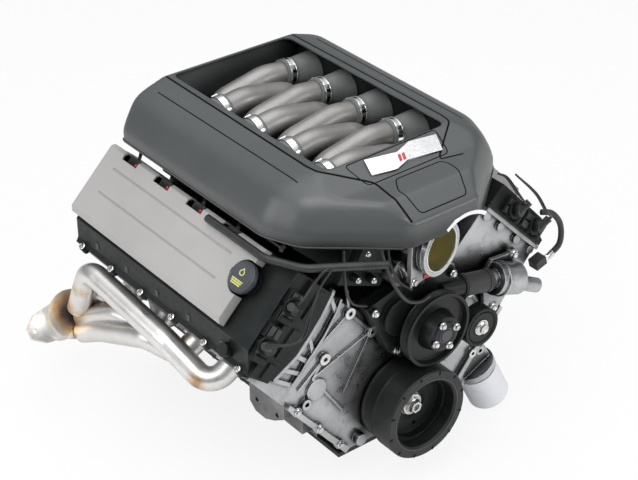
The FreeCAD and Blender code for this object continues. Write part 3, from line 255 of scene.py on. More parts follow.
def stainless():
    m, n, l = new_material("header_stainless")
    out = n.new("ShaderNodeOutputMaterial")
    p = n.new("ShaderNodeBsdfPrincipled")
    vec = coords(n, l)
    col = ramp(n, l, noise(n, l, vec, 16, 6), [(0.3, (0.66, 0.645, 0.63)), (0.7, (0.80, 0.785, 0.765))])
    sep = n.new("ShaderNodeSeparateXYZ")
    l.new(vec, sep.inputs[0])
    ab = n.new("ShaderNodeMath")
    ab.operation = "ABSOLUTE"
    l.new(sep.outputs["X"], ab.inputs[0])
    com = n.new("ShaderNodeCombineXYZ")
    l.new(ab.outputs[0], com.inputs["X"])
    l.new(sep.outputs["Y"], com.inputs["Y"])
    l.new(sep.outputs["Z"], com.inputs["Z"])
    rough_edge = noise(n, l, vec, 45, 3)
    for (x, y, z), r in WELDS:
        d = n.new("ShaderNodeVectorMath")
        d.operation = "DISTANCE"
        l.new(com.outputs[0], d.inputs[0])
        d.inputs[1].default_value = (-x * MM, y * MM, z * MM)
        w = n.new("ShaderNodeMath")
        w.operation = "MULTIPLY_ADD"
        l.new(rough_edge, w.inputs[0])
        w.inputs[1].default_value = 0.022
        l.new(d.outputs["Value"], w.inputs[2])
        near = spread(n, l, w.outputs[0], 1.0, 0.0, (r * 0.35 + 11) * MM, (r + 11) * MM)
        hot = ramp(n, l, near, [(0.0, (0.60, 0.56, 0.5)), (0.35, (0.62, 0.46, 0.26)),
                                (0.62, (0.42, 0.25, 0.12)), (0.85, (0.16, 0.12, 0.11)),
                                (1.0, (0.09, 0.08, 0.08))])
        col = mix(n, l, spread(n, l, near, 0.0, 0.88, 0.0, 0.5), col, hot)
    l.new(col, p.inputs["Base Color"])
    p.inputs["Metallic"].default_value = 0.9
    l.new(spread(n, l, noise(n, l, vec, 40, 5), 0.26, 0.42), p.inputs["Roughness"])
    grain = add_bump(n, l, noise(n, l, coords(n, l, (1, 0.15, 1)), 420, 3), 0.3, 0.00012)
    l.new(add_bump(n, l, noise(n, l, vec, 30, 3), 0.12, 0.0008, grain), p.inputs["Normal"])
    l.new(p.outputs["BSDF"], out.inputs["Surface"])
    return m


M = {}
M["cast"] = finish_material("cast_aluminium", (0.40, 0.41, 0.42), (0.58, 0.59, 0.60), 0.38, 0.88, patch=16,
                            grain=700, grain_depth=0.0003, grain_strength=0.5, edge=0.002,
                            spots=((0.12, 0.12, 0.12), 40, 0.45), edge_rub_and_highlight=((0.8, 0.8, 0.8), 0.0015, 0.5))
M["cast_bright"] = finish_material("cast_aluminium_bright", (0.40, 0.41, 0.42), (0.62, 0.625, 0.635), 0.30,
                                   0.92, painted_cavity_shade=((0.03, 0.03, 0.03), 0.035, 0.45), patch=11, grain=520,
                                   grain_depth=0.00022, grain_strength=0.4,
                                   edge=0.0022, spots=((0.2, 0.2, 0.21), 26, 0.5),
                                   edge_rub_and_highlight=((0.92, 0.92, 0.92), 0.0018, 0.6))
M["cast_dark"] = finish_material("cast_aluminium_oiled", (0.14, 0.145, 0.145), (0.32, 0.325, 0.32), 0.38,
                                 0.85, patch=18, grain=600, grain_depth=0.0003, grain_strength=0.5,
                                 spots=((0.03, 0.03, 0.03), 22, 0.7), edge_rub_and_highlight=((0.6, 0.6, 0.6), 0.0015, 0.5))
M["machined"] = finish_material("machined_face", (0.66, 0.66, 0.66), (0.80, 0.80, 0.80), 0.24, 0.95, patch=24,
                                grain=1400, stretch=(1, 1, 0.2), edge=0.0006)
M["steel"] = finish_material("machined_steel", (0.38, 0.38, 0.39), (0.56, 0.56, 0.57), 0.26, 1.0,
                             patch=30, grain=1500, stretch=(1, 0.2, 1), spots=((0.2, 0.18, 0.16), 60, 0.4))
M["bolt"] = finish_material("zinc_bolt", (0.56, 0.56, 0.55), (0.78, 0.78, 0.77), 0.22, 1.0, patch=60,
                            grain=1800, edge=0.0005, spots=((0.25, 0.24, 0.2), 90, 0.35))
M["iron"] = finish_material("dark_iron", (0.10, 0.10, 0.10), (0.2, 0.2, 0.2), 0.5, 0.7,
                            spots=((0.2, 0.12, 0.08), 30, 0.3))
M["black"] = finish_material("black_plastic", (0.009, 0.011, 0.011), (0.020, 0.024, 0.023), 0.46, patch=20,
                             specular=0.2,
                             grain=1800, grain_depth=0.00006, edge=0.0018,
                             painted_cavity_shade=((0.002, 0.002, 0.002), 0.03, 0.4),
                             edge_rub_and_highlight=((0.07, 0.08, 0.08), 0.0015, 0.5))
M["black_rib"] = finish_material("black_ribbed_block", (0.016, 0.020, 0.022), (0.032, 0.040, 0.043), 0.40,
                                 patch=20, grain=1500, grain_depth=0.00006, edge=0.001,
                                 edge_rub_and_highlight=((0.12, 0.14, 0.14), 0.001, 0.6))
M["cover"] = finish_material("cover_plastic", (0.060, 0.066, 0.067), (0.074, 0.080, 0.081), 0.33, patch=4,
                             painted_cavity_shade=((0.006, 0.007, 0.007), 0.05, 0.35),
                             painted_low_shade=((0.008, 0.009, 0.009), 0.398, 0.422),
                             grain=2600, grain_depth=0.00005, grain_strength=0.4, edge=0.003, specular=0.6,
                             edge_rub_and_highlight=((0.20, 0.21, 0.21), 0.0014, 0.3), rough_span=0.03)
M["seam"] = finish_material("seam_shadow", (0.002, 0.002, 0.002), (0.004, 0.004, 0.004), 0.8, patch=30,
                            edge=0, specular=0.1)
M["grey"] = finish_material("coil_cover_grey", (0.355, 0.350, 0.345), (0.415, 0.409, 0.403), 0.44, patch=5,
                            grain=2200, grain_depth=0.00006, grain_strength=0.4, edge=0.003,
                            edge_rub_and_highlight=((0.5, 0.49, 0.47), 0.0015, 0.3), rough_span=0.04)
M["rubber"] = finish_material("black_rubber", (0.012, 0.012, 0.012), (0.028, 0.028, 0.028), 0.55, patch=30,
                              grain=1200, grain_depth=0.0001, sheen=0.1)
M["boot"] = finish_material("boot_rubber", (0.125, 0.130, 0.130), (0.165, 0.170, 0.170), 0.48, patch=25,
                            grain=1400, grain_depth=0.0001, ribs=("X", 95.0, 0.30, 0.0004))
M["wire"] = finish_material("wire_sheath", (0.01, 0.01, 0.01), (0.024, 0.024, 0.024), 0.36, patch=60,
                            grain=900, edge=0)
M["loom"] = finish_material("wire_loom", (0.010, 0.011, 0.011), (0.026, 0.027, 0.027), 0.34, patch=50,
                            grain=900, edge=0, ribs=("Y", 120.0, 0.5, 0.0006))
M["chrome"] = finish_material("polished_chrome", (0.82, 0.82, 0.83), (0.93, 0.93, 0.94), 0.13, 1.0, patch=40,
                              grain_strength=0.06, edge=0.0005, rough_span=0.04)
M["runner"] = woven_metal()
M["paint"] = finish_material("black_paint", (0.005, 0.006, 0.006), (0.010, 0.011, 0.011), 0.34, patch=14,
                             grain=900, grain_depth=0.00008, edge=0.0012, specular=0.3,
                             edge_rub_and_highlight=((0.10, 0.11, 0.11), 0.0012, 0.4), rough_span=0.05)
M["damper_side"] = finish_material("damper_side_black", (0.0035, 0.004, 0.004), (0.008, 0.009, 0.009), 0.45,
                                   patch=26, grain=1100, grain_depth=0.00012, edge=0.001,
                                   edge_rub_and_highlight=((0.05, 0.06, 0.06), 0.0012, 0.5))
M["pan"] = finish_material("oil_pan_black", (0.006, 0.007, 0.007), (0.014, 0.016, 0.016), 0.42, 0.0, patch=16,
                           grain=700, grain_depth=0.0002, grain_strength=0.5, edge=0.0015,
                           edge_rub_and_highlight=((0.09, 0.09, 0.09), 0.0012, 0.4))
M["cast_mid"] = finish_material("cast_aluminium_grey", (0.20, 0.205, 0.21), (0.34, 0.345, 0.35), 0.36, 0.88,
                                painted_cavity_shade=((0.02, 0.02, 0.02), 0.03, 0.45), patch=14, grain=560,
                                grain_depth=0.00026, grain_strength=0.45, edge=0.002,
                                spots=((0.05, 0.05, 0.05), 24, 0.6), edge_rub_and_highlight=((0.75, 0.75, 0.75), 0.0016, 0.6))
M["ring"] = finish_material("damper_ring_face", (0.030, 0.040, 0.039), (0.048, 0.060, 0.058), 0.42, patch=26,
                            grain=1100, grain_depth=0.00012, edge=0.001,
                            edge_rub_and_highlight=((0.16, 0.19, 0.18), 0.0012, 0.6))
M["filter"] = finish_material("white_enamel", (0.70, 0.71, 0.76), (0.78, 0.79, 0.83), 0.30, patch=5,
                              grain=700, coat=0.25, edge=0.001, spots=((0.6, 0.6, 0.62), 18, 0.3))
M["brass"] = finish_material("brass_plate", (0.62, 0.56, 0.26), (0.80, 0.74, 0.40), 0.32, 0.7, patch=12,
                             edge=0.0005, spots=((0.5, 0.42, 0.2), 30, 0.4))
# painted reflection: brass-yellow colour of the throttle bore stands in for reflected yellow
M["bore"] = finish_material("bore_painted_reflection", (0.26, 0.23, 0.11), (0.40, 0.36, 0.19), 0.34, 0.6, patch=14,
                            edge=0, spots=((0.16, 0.13, 0.06), 24, 0.5))
M["forged"] = finish_material("forged_aluminium", (0.5, 0.5, 0.5), (0.65, 0.65, 0.65), 0.35, 1.0)
M["cap"] = finish_material("cap_plastic", (0.040, 0.044, 0.056), (0.060, 0.064, 0.078), 0.45, patch=18,
                           grain=1500, edge=0.001, edge_rub_and_highlight=((0.13, 0.14, 0.16), 0.0012, 0.4))
M["mark"] = finish_material("yellow_mark", (0.56, 0.58, 0.13), (0.70, 0.70, 0.24), 0.5, patch=60,
                            grain=1400, edge=0.0004, spots=((0.3, 0.32, 0.1), 180, 0.4))
M["red"] = finish_material("red_lock", (0.45, 0.02, 0.03), (0.62, 0.05, 0.06), 0.4, patch=70, edge=0.0004)

LOOKS = {
    "engine_block": "cast_dark", "cylinder_liners": "iron", "main_caps": "iron", "structural_bolts": "bolt",
    "main_bearings": "steel", "crankshaft": "steel", "crank_sprocket": "steel", "damper_hub": "paint",
    "damper_ring": "damper_side", "damper_bolt": "bolt", "pistons": "forged", "piston_rings": "steel",
    "wrist_pins": "steel", "connecting_rods": "steel", "cylinder_heads": "cast_mid", "gaskets": "machined",
    "valves": "steel", "valve_springs": "steel", "cam_followers": "steel", "cam_caps": "cast",
    "timing_chains": "steel", "chain_guides": "black", "timing_cover": "cast_bright", "oil_pan": "pan",
    "oil_pump": "steel", "oil_filter": "filter", "filter_adapter": "cast_bright", "cam_covers": "black",
    "coil_covers": "grey", "ignition_coils": "black", "spark_plugs": "steel", "oil_cap": "cap",
    "water_pump_housing": "paint", "water_pump_rotor": "steel", "pump_pulley": "paint",
    "pulley_bolts": "bolt", "idler_pulley": "black", "water_neck": "cast_bright", "coolant_hose": "rubber",
    "lower_manifold": "black", "intake_runners": "runner", "runner_boots": "boot", "runner_clamps": "chrome",
    "plenum_cover": "cover", "cover_badge": "chrome", "throttle_body": "cast_bright",
    "throttle_plate": "brass", "fuel_rails": "steel", "injectors": "black", "exhaust_headers": "stainless",
    "wiring_harness": "loom", "flange_bolts": "bolt"}
M["stainless"] = stainless()
for name, obj in nodes.items():
    if name.startswith("camshaft"):
        LOOKS[name] = "iron"
    elif name.startswith("phaser"):
        LOOKS[name] = "steel"
    for s in obj.material_slots:
        s.link = "OBJECT"
        s.material = M[LOOKS[name]]


# Mesh building

def basis(d):
    d = Vector(d).normalized()
    h = V(0, 0, 1) if abs(d.z) < 0.9 else V(1, 0, 0)
    u = h.cross(d).normalized()
    return u, d.cross(u), d


def spline(points, per=8):
    p = [Vector(q) for q in points]
    p = [p[0] * 2 - p[1]] + p + [p[-1] * 2 - p[-2]]
    out = []
    for i in range(1, len(p) - 2):
        for k in range(per):
            t = k / per
            a, b, c, d = p[i - 1], p[i], p[i + 1], p[i + 2]
            out.append(0.5 * ((2 * b) + (c - a) * t + (2 * a - 5 * b + 4 * c - d) * t * t
                              + (3 * b - 3 * c + d - a) * t ** 3))
    return out + [p[-2]]


class Shape:
    def __init__(self):
        self.verts, self.faces, self.mats = [], [], []

    def loft(self, rings, caps=(True, True), mat=0, around=True):
        base, n = len(self.verts), len(rings[0])
        for ring in rings:
            self.verts += [tuple(q) for q in ring]
        for i in range(len(rings) - 1):
            for j in range(n if around else n - 1):
                a, b = base + i * n + j, base + i * n + (j + 1) % n
                self.faces.append((a, b, b + n, a + n))
                self.mats.append(mat)
        if caps[0]:
            self.faces.append(tuple(base + j for j in reversed(range(n))))
            self.mats.append(mat)
        if caps[1]:
            top = base + (len(rings) - 1) * n
            self.faces.append(tuple(top + j for j in range(n)))
            self.mats.append(mat)

    def lathe(self, profile, p, d, n=40, mat=0, caps=(True, True), turn=0.0):
        u, w, d = basis(d)
        p = Vector(p)
        rings = []
        for r, s in profile:
            rings.append([p + d * s + (u * math.cos(a) + w * math.sin(a)) * r
                          for a in (2 * math.pi * j / n + turn for j in range(n))])
        self.loft(rings, caps, mat)

    def ring(self, r0, r1, s0, s1, p, d, n=48, mat=0, ease=0.0):
        e = min(ease, (r1 - r0) * 0.4, (s1 - s0) * 0.4)
        prof = [(r0, s0 + e), (r0 + e, s0), (r1 - e, s0), (r1, s0 + e), (r1, s1 - e), (r1 - e, s1),
                (r0 + e, s1), (r0, s1 - e), (r0, s0 + e)]
        self.lathe(prof, p, d, n, mat, (False, False))

    def bolt(self, p, d, r, mat=0, washer=0.0):
        p, d = Vector(p), Vector(d).normalized()
        if washer:
            self.ring(r * 0.6, washer, 0, r * 0.25, p, d, 36, mat, 0.5)
            p = p + d * r * 0.25
        self.lathe([(r * 1.34, 0), (r * 1.36, r * 0.1), (r * 1.1, r * 0.3), (r * 0.9, r * 0.34)],
                   p, d, 28, mat)
        self.lathe([(r * 1.06, r * 0.3), (r * 1.06, r * 0.84), (r * 0.92, r * 0.98), (r * 0.62, r * 0.98),
                    (r * 0.52, r * 0.82)], p, d, 6, mat, (False, True), 0.3 * p.x + 0.2 * p.y)

    def sweep(self, path, r, n=12, mat=0):
        path = [Vector(q) for q in path]
        tan = [(path[min(i + 1, len(path) - 1)] - path[max(i - 1, 0)]).normalized() for i in range(len(path))]
        u = basis(tan[0])[0]
        rings = []
        for i, q in enumerate(path):
            u = (u - tan[i] * u.dot(tan[i])).normalized()
            w = tan[i].cross(u)
            k = r(i / (len(path) - 1)) if callable(r) else r
            rings.append([q + (u * math.cos(2 * math.pi * j / n) + w * math.sin(2 * math.pi * j / n)) * k
                          for j in range(n)])
        self.loft(rings, (True, True), mat)

    def wire(self, points, r, mat=0, n=10, per=8):
        self.sweep(spline(points, per), r, n, mat)

    def prism(self, points, direction, mat=0):
        pts, d = [Vector(q) for q in points], Vector(direction)
        self.loft([pts, [q + d for q in pts]], mat=mat)

    def block(self, p, axes, size, mat=0):
        """Box centred on p, along three axes, with its full sizes."""
        a, b, c = [Vector(x).normalized() * s / 2 for x, s in zip(axes, size)]
        p = Vector(p)
        self.prism([p - a - b - c, p + a - b - c, p + a + b - c, p - a + b - c], c * 2, mat)

    def make(self, name, looks, body="engine", slot=None, replaces=(), bevel=0.0, sharp=38, segments=2):
        me = bpy.data.meshes.new(name)
        me.from_pydata([(x * MM, y * MM, z * MM) for x, y, z in self.verts], [], self.faces)
        for k in looks if isinstance(looks, (list, tuple)) else [looks]:
            me.materials.append(M[k])
        me.polygons.foreach_set("material_index", self.mats)
        return place(name, me, body, replaces, bevel, sharp, segments)


def bmesh_clean(me):
    bm = bmesh.new()
    bm.from_mesh(me)
    bmesh.ops.remove_doubles(bm, verts=bm.verts, dist=1e-7)
    bmesh.ops.recalc_face_normals(bm, faces=bm.faces)
    bm.to_mesh(me)
    bm.free()


def place(name, me, body, replaces, bevel, sharp, segments=2):
    bmesh_clean(me)
    me.polygons.foreach_set("use_smooth", [True] * len(me.polygons))
    me.set_sharp_from_angle(angle=math.radians(sharp))
    o = bpy.data.objects.new(name, me)
    bpy.context.scene.collection.objects.link(o)
    if bevel:
        b = o.modifiers.new("soft", "BEVEL")
        b.width = bevel * MM
        b.segments = segments
        b.limit_method = "ANGLE"
        b.angle_limit = math.radians(40)
        b.harden_normals = False
    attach(o, body)
    if replaces:
        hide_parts(*replaces)
    return o


# Intake cover

def meet(p, d, q, e):
    k = ((q[0] - p[0]) * e[1] - (q[1] - p[1]) * e[0]) / (d[0] * e[1] - d[1] * e[0])
    return p[0] + d[0] * k, p[1] + d[1] * k


def rounded(loop, r, n=5):
    out = []
    for i, q in enumerate(loop):
        a, q, b = Vector(loop[i - 1]), Vector(q), Vector(loop[(i + 1) % len(loop)])
        ra = min(r, (a - q).length * 0.45)
        rb_ = min(r, (b - q).length * 0.45)
        p0, p1 = q + (a - q).normalized() * ra, q + (b - q).normalized() * rb_
        for k in range(n):
            t = k / (n - 1)
            out.append(p0 * (1 - t) ** 2 + q * 2 * t * (1 - t) + p1 * t * t)
    return out


def cover_outline(side, corner):
    a, c = side + 0.5, corner + 0.5
    m = (a + c) / 2
    p1, d1 = (241 - a, 0), (0, -1)
    p2, d2 = (214 - 0.926 * m, -538 + 0.379 * m), (-0.379, -0.926)
    p3, d3 = (214 - 0.634 * c, -538 + 0.773 * c), (-0.773, -0.634)
    v1, v2 = meet(p1, d1, p2, d2), meet(p2, d2, p3, d3)
    v3 = meet(p3, d3, (0, -649.5), (1, 0))
    if v3[0] < 6:
        v3 = meet(p3, d3, (6, 0), (0, 1))
    half = [(241 - a, -48.6), v1, v2, v3]
    return rounded([(-x, y) for x, y in half] + half[::-1], 16)


def cover_profile():
    keys = [(380, 0, 0), (394, 0, 0), (408, 0, 0), (436, 12.5, 9.5), (465, 35, 28), (485, 91, 62)]
    out = []
    for q in spline([V(*k) for k in keys], 5):
        out.append((q.x, max(q.y, 0), max(q.z, 0)))
    return out


THROTTLE_DIR = V(math.sin(math.radians(12)), -math.cos(math.radians(12)), 0)
THROTTLE = V(30, -612, 328)
ARCH = V(36, -600, 343)


def raw(shape, name):
    me = bpy.data.meshes.new(name)
    me.from_pydata([(x * MM, y * MM, z * MM) for x, y, z in shape.verts], [], shape.faces)
    bmesh_clean(me)
    o = bpy.data.objects.new(name, me)
    bpy.context.scene.collection.objects.link(o)
    return o


def boolean(o, other, op):
    b = o.modifiers.new("b", "BOOLEAN")
    b.operation = op
    b.object = other
    b.solver = "EXACT"


def baked(o):
    dg = bpy.context.evaluated_depsgraph_get()
    me = bpy.data.meshes.new_from_object(o.evaluated_get(dg))
    o.modifiers.clear()
    o.data = me


def intake_cover():
    hull = Shape()
    hull.loft([[V(q.x, q.y, z) for q in cover_outline(a, c)] for z, a, c in cover_profile()])
    body = raw(hull, "cover_hull")
    nose = Shape()
    loop = rounded([(-75.6, -470), (75.6, -470), (75.6, -651.6), (-75.6, -651.6)], 9)
    nose.loft([[V(q.x, q.y, z) for q in loop] for z in (380.5, 486)])
    nose = raw(nose, "cover_nose")
    slope = Shape()
    side = [(-40, 360), (-40, 485.0), (-500, 485.0), (-556, 463), (-606, 459), (-636, 441), (-660, 426),
            (-660, 360)]
    slope.prism([(-260, y, z) for y, z in side], (520, 0, 0))
    slope = raw(slope, "cover_slope")
    boolean(body, nose, "UNION")
    boolean(body, slope, "INTERSECT")
    baked(body)
    r = body.modifiers.new("r", "REMESH")
    r.mode = "VOXEL"
    r.voxel_size = 0.0034
    s = body.modifiers.new("s", "SMOOTH")
    s.factor = 0.5
    s.iterations = 9
    baked(body)
    s = body.modifiers.new("t", "SOLIDIFY")
    s.thickness = 0.0034
    s.offset = -1
    window = Shape()
    loop = rounded([(-130, -57), (-130, -500), (130, -500), (130, -57)], 18)
    window.loft([[V(q.x, q.y, z) for q in loop] for z in (420, 520)])
    tools = [raw(window, "cover_window")]
    arch = Shape()
    arch.lathe([(63, -40), (63, 110)], ARCH, THROTTLE_DIR, 72)
    tools.append(raw(arch, "cover_arch"))
    low = Shape()
    low.prism([(-300, -700, 370), (300, -700, 370), (300, 0, 370), (-300, 0, 370)], (0, 0, 18.4))
    tools.append(raw(low, "cover_low"))
    for t in tools:
        boolean(body, t, "DIFFERENCE")
    baked(body)
    me = body.data
    me.materials.clear()
    me.materials.append(M["cover"])
    for o in tools + [nose, slope, body]:
        bpy.data.objects.remove(o)
    return place("intake_cover", me, "engine", ["plenum_cover"], 0, 34)


def drape(surface, points, lift=0.0, step=6.0):
    """Lay a plan path on a surface from above, in millimetres."""
    out = []
    pts = [Vector((q[0], q[1])) for q in points]
    for a, b in zip(pts, pts[1:]):
        n = max(1, int((b - a).length / step))
        for k in range(n):
            out.append(a + (b - a) * k / n)
    out.append(pts[-1])
    res = []
    for q in out:
        hit, nor, _, _ = surface.ray_cast(V(q.x, q.y, 700) * MM, V(0, 0, -1))
        if hit is not None:
            res.append((hit / MM + nor * lift, nor))
    return res


def ribbon(shape, line, width, height, mat=0):
    rings = []
    for i, (q, nor) in enumerate(line):
        a, b = line[max(i - 1, 0)][0], line[min(i + 1, len(line) - 1)][0]
        side = (b - a).cross(nor).normalized() * width / 2
        up = nor * height
        rings.append([q - side - up, q + side - up, q + side * 0.8 + up, q - side * 0.8 + up])
    shape.loft(rings, mat=mat)


def cover_lines(cover):
    surface = BVHTree.FromPolygons([v.co.copy() for v in cover.data.vertices],
                                   [tuple(p.vertices) for p in cover.data.polygons])
    seams = Shape()
    panel = rounded([(-142, -56), (-146, -471), (-142, -497), (-69, -553), (-72, -597), (-70, -646)], 9)[5:-5]
    left = [(-142, -56)] + [tuple(q) for q in panel] + [(-70, -646)]
    right = [(-x, y) for x, y in left if y > -560] + [(112, -566)]
    for path, w in ((left, 4.6), (right, 3.4), ([(-178.5, -84), (-178.5, -488)], 2.2),
                    ([(178.5, -84), (178.5, -488)], 2.2)):
        ribbon(seams, drape(surface, path), w, 0.35)
    badge = rounded([(-96, -505), (104, -502), (92, -552), (-84, -553)], 10)
    badge = [tuple(q) for q in badge]
    ribbon(seams, drape(surface, badge + [badge[0]], step=4), 2.2, 0.3)
    plate = rounded([(-34, -562), (64, -562), (72, -574), (72, -596), (54, -640), (-46, -640),
                     (-52, -590)], 8)
    plate = [tuple(q) for q in plate]
    ribbon(seams, drape(surface, plate + [plate[0]], step=4), 2.2, 0.3)
    seams.make("cover_seams", "seam", slot="black_plastic")
    lip = Shape()
    low = [V(q.x, q.y, 389.3) for q in cover_outline(-0.8, -0.8)]
    low = [q for q in low if abs(q.x) > 80 or q.y > -200]
    first = max(range(len(low)), key=lambda i: (low[i] - low[i - 1]).length if low[i].y < -500 else 0)
    low = low[first:] + low[:first]
    rings = []
    for i, q in enumerate(low):
        t = (low[min(i + 1, len(low) - 1)] - low[max(i - 1, 0)]).normalized()
        s = V(t.y, -t.x, 0)
        rings.append([q - s * 3.2 - V(0, 0, 1.2), q + s * 0.9 - V(0, 0, 1.2), q + s * 1.1 + V(0, 0, 0.4),
                      q + s * 0.2 + V(0, 0, 1.6), q - s * 3.2 + V(0, 0, 1.4)])
    lip.loft(rings)
    lip.make("cover_lower_lip", "cover", slot="cover_plastic")
    return surface


def arch_lip():
    side = V(math.cos(math.radians(12)), math.sin(math.radians(12)), 0)
    s = Shape()
    rings = []
    for k in range(65):
        a = math.pi * (-0.02 + 1.04 * k / 64)
        out = side * math.cos(a) + V(0, 0, 1) * math.sin(a)
        if (ARCH + out * 63).z < 389 or (ARCH + out * 63).x > 75:
            continue
        ring = []
        for r, y in ((61.2, -629), (61.2, -650.6), (62.2, -651.9), (69.0, -651.9), (70.2, -650.9),
                     (70.2, -649), (63.2, -648.6), (63.2, -629)):
            p = ARCH + out * r
            p = p + THROTTLE_DIR * ((y - p.y) / THROTTLE_DIR.y)
            ring.append(p)
        rings.append(ring)
    s.loft(rings)
    s.make("arch_lip", "chrome", slot="chrome")


def badge_inlay(surface):
    """Plain chevron in red between the two arms of the bare plate."""
    s = Shape()
    for x0 in (-2.0, 6.5):
        pts = [(x0, -536), (x0 + 5, -536), (x0 + 10, -524), (x0 + 5, -524)]
        base = [V(x, y, 466.6 + (y + 556) * 0.393) for x, y in pts]
        s.prism(base, V(0, -0.36, 0.93) * 1.0)
    s.make("badge_inlay", "red", bevel=0.3)


# Fasteners

def engine_bolts():
    s = Shape()
    down, front = V(0, 0, -1), V(0, -1, 0)
    for place_of, t, n, ys in ((rb, RT, RN, RIGHT), (lb, LT, LN, LEFT)):
        for y in [-50 - 96 * i for i in range(6)]:
            s.bolt(place_of(98, y, HEAD_N + 15.0), n, 4.9)
        for y in ys:
            for dy in (-32, 32):
                s.bolt(place_of(112.7, y + dy, PORT_N + 2), t, 6)
    for sgn in (-1, 1):
        for x, z in ((134, -48), (180, 9), (228, 68)):
            if sgn < 0 or x > 200:
                s.bolt((sgn * x, -548.1, z), front, 5.2)
        for y in [-60 - 92 * i for i in range(5)]:
            s.bolt((sgn * 126, y, -84.1), down, 4.4)
    for x, z in ((-84, 226), (-34, 128), (86, 112), (92, 236)):
        s.bolt((x, -577.4, z), front, 5.2)
    for x, z in ((258, 201), (214, 104)):
        s.bolt((x, -558.4, z), front, 6)
    side = V(math.cos(math.radians(12)), math.sin(math.radians(12)), 0)
    for a, b in ((-50, -50), (50, -50), (-50, 50), (50, 50)):
        s.bolt(THROTTLE - THROTTLE_DIR * 18.8 + side * a + V(0, 0, b), THROTTLE_DIR, 5.2)
    s.ring(5.1, 8.95, 0, 26.1, (144.7, -574.2, 112.7), front, 36, 0, 0.4)
    s.bolt((144.7, -600.4, 112.7), front, 9.0, washer=15.5)
    s.make("engine_bolts", "bolt", slot="bolt_steel", replaces=["flange_bolts"], sharp=30)
    p = Shape()
    for a in (20, 110, 200, 290):
        c = V(33 + 25 * math.cos(math.radians(a)), -628.3, 158.6 + 25 * math.sin(math.radians(a)))
        p.bolt(c, front, 4.9, washer=7.2)
    p.make("pulley_hex_bolts", "bolt", "pump_rotor", "bolt_steel", ["pulley_bolts"], sharp=30)
    d, hub = Shape(), (0, -580.3, 0)
    d.ring(7, 21, 0, 5.6, hub, front, 64, 0, 0.8)
    d.ring(7, 15.5, 5.6, 7.4, hub, front, 48, 0, 0.5)
    d.lathe([(12.6, 7.2), (12.6, 16), (11.6, 17.4), (7.4, 17.4), (7.0, 16.6), (6.6, 9.5)],
            hub, front, 6, 0, (True, True), 0.2)
    d.lathe([(13.4, 7.2), (13.4, 9.4), (12.2, 10.4)], hub, front, 48, 0, (False, False))
    d.make("damper_hex_bolt", "bolt", "crank", "bolt_steel", ["damper_bolt"], sharp=30)


def clamps():
    s = Shape()
    for sgn, lanes in ((1, [-104.5 - 100 * i for i in range(4)]), (-1, [-151.0 - 100 * i for i in range(4)])):
        for y in lanes:
            a = V(sgn * 144, y, 432)
            d = (V(sgn * 40, y, 446) - a).normalized()
            p = a + d * 48.0
            s.ring(26.7, 27.7, 0, 12.5, p, d, 64, 0, 0.3)
            s.ring(26.7, 28.6, 0, 1.5, p, d, 64, 0, 0.4)
            s.ring(26.7, 28.6, 11, 12.5, p, d, 64, 0, 0.4)
            for ang, sz in ((0.62, (1.2, 16, 12.8)), (0.50, (2.4, 7, 9))):
                ang = ang if sgn > 0 else math.pi - ang
                o = V(0, -math.cos(ang), math.sin(ang))
                tn = o.cross(d)
                s.block(p + d * 6.2 + o * 28.0, (o, tn, d), sz)
            o = V(0, 0, -1) if sgn > 0 else V(0, -0.5, -0.86)
            tn = o.cross(d)
            s.block(p + d * 6.2 + o * 30.2, (o, tn, d), (5.2, 15, 9.5))
            s.bolt(p + d * 6.2 + o * 30.6 + tn * 7.6, tn, 3.1)
    s.make("clamp_bands", "chrome", slot="chrome", replaces=["runner_clamps"], sharp=30)


# Cap, pulleys, throttle

def filler_cap():
    s = Shape()
    c = rb(-32, -476, 426.8)
    u, w, d = RT, V(0, 1, 0), RN
    rings = []
    prof = [(27, 0.2), (28, 1.0), (28, 8.6), (26.6, 10.6), (24.4, 11.0), (24.0, 12.6), (23.0, 13.8),
            (21.2, 14.0), (20.6, 13.4), (2, 13.4)]
    for r, h in prof:
        ring = []
        for j in range(144):
            a = 2 * math.pi * j / 144
            k = r - (0.7 if r > 25 and 1 < h < 10 and j % 6 in (0, 1) else 0)
            ring.append(c + u * math.cos(a) * k + w * math.sin(a) * k + d * h)
        rings.append(ring)
    s.loft(rings)
    s.ring(11, 15.7, -14, 0.4, c, d, 40)
    for sg in (-1, 1):
        s.block(c + w * sg * 24.6 + d * 5.6, (u, w, d), (8.5, 7.2, 10.6))
    s.make("filler_cap", "cap", "oil_fill", "black_plastic", ["oil_cap"], bevel=0.7)
    m = Shape()
    top = c + d * 13.4

    def at(a, b):
        return top + u * a + w * b
    for row in range(3):
        m.prism([at(7 + row * 3.6, -14 + row * 1.2), at(9.4 + row * 3.6, -14 + row * 1.2),
                 at(9.4 + row * 3.6, 14 - row * 1.2), at(7 + row * 3.6, 14 - row * 1.2)], d * 0.45)
    drop = []
    for j in range(28):
        a = 2 * math.pi * j / 28
        r = 6.2 * (1 - 0.34 * math.sin(a)) if math.sin(a) > 0 else 6.2
        drop.append((-6 - math.sin(a) * (8.4 if math.sin(a) > 0 else 5.4),
                     math.cos(a) * r * (0.62 if math.sin(a) > 0.6 else 1)))
    outer = [at(x, y) for x, y in drop]
    inner = [at(-6 + (x + 6) * 0.66, y * 0.66) for x, y in drop]
    m.loft([inner, [q + d * 0.45 for q in inner], [q + d * 0.45 for q in outer], outer, inner],
           caps=(False, False))
    m.make("filler_marks", "mark", "oil_fill", "black_plastic")


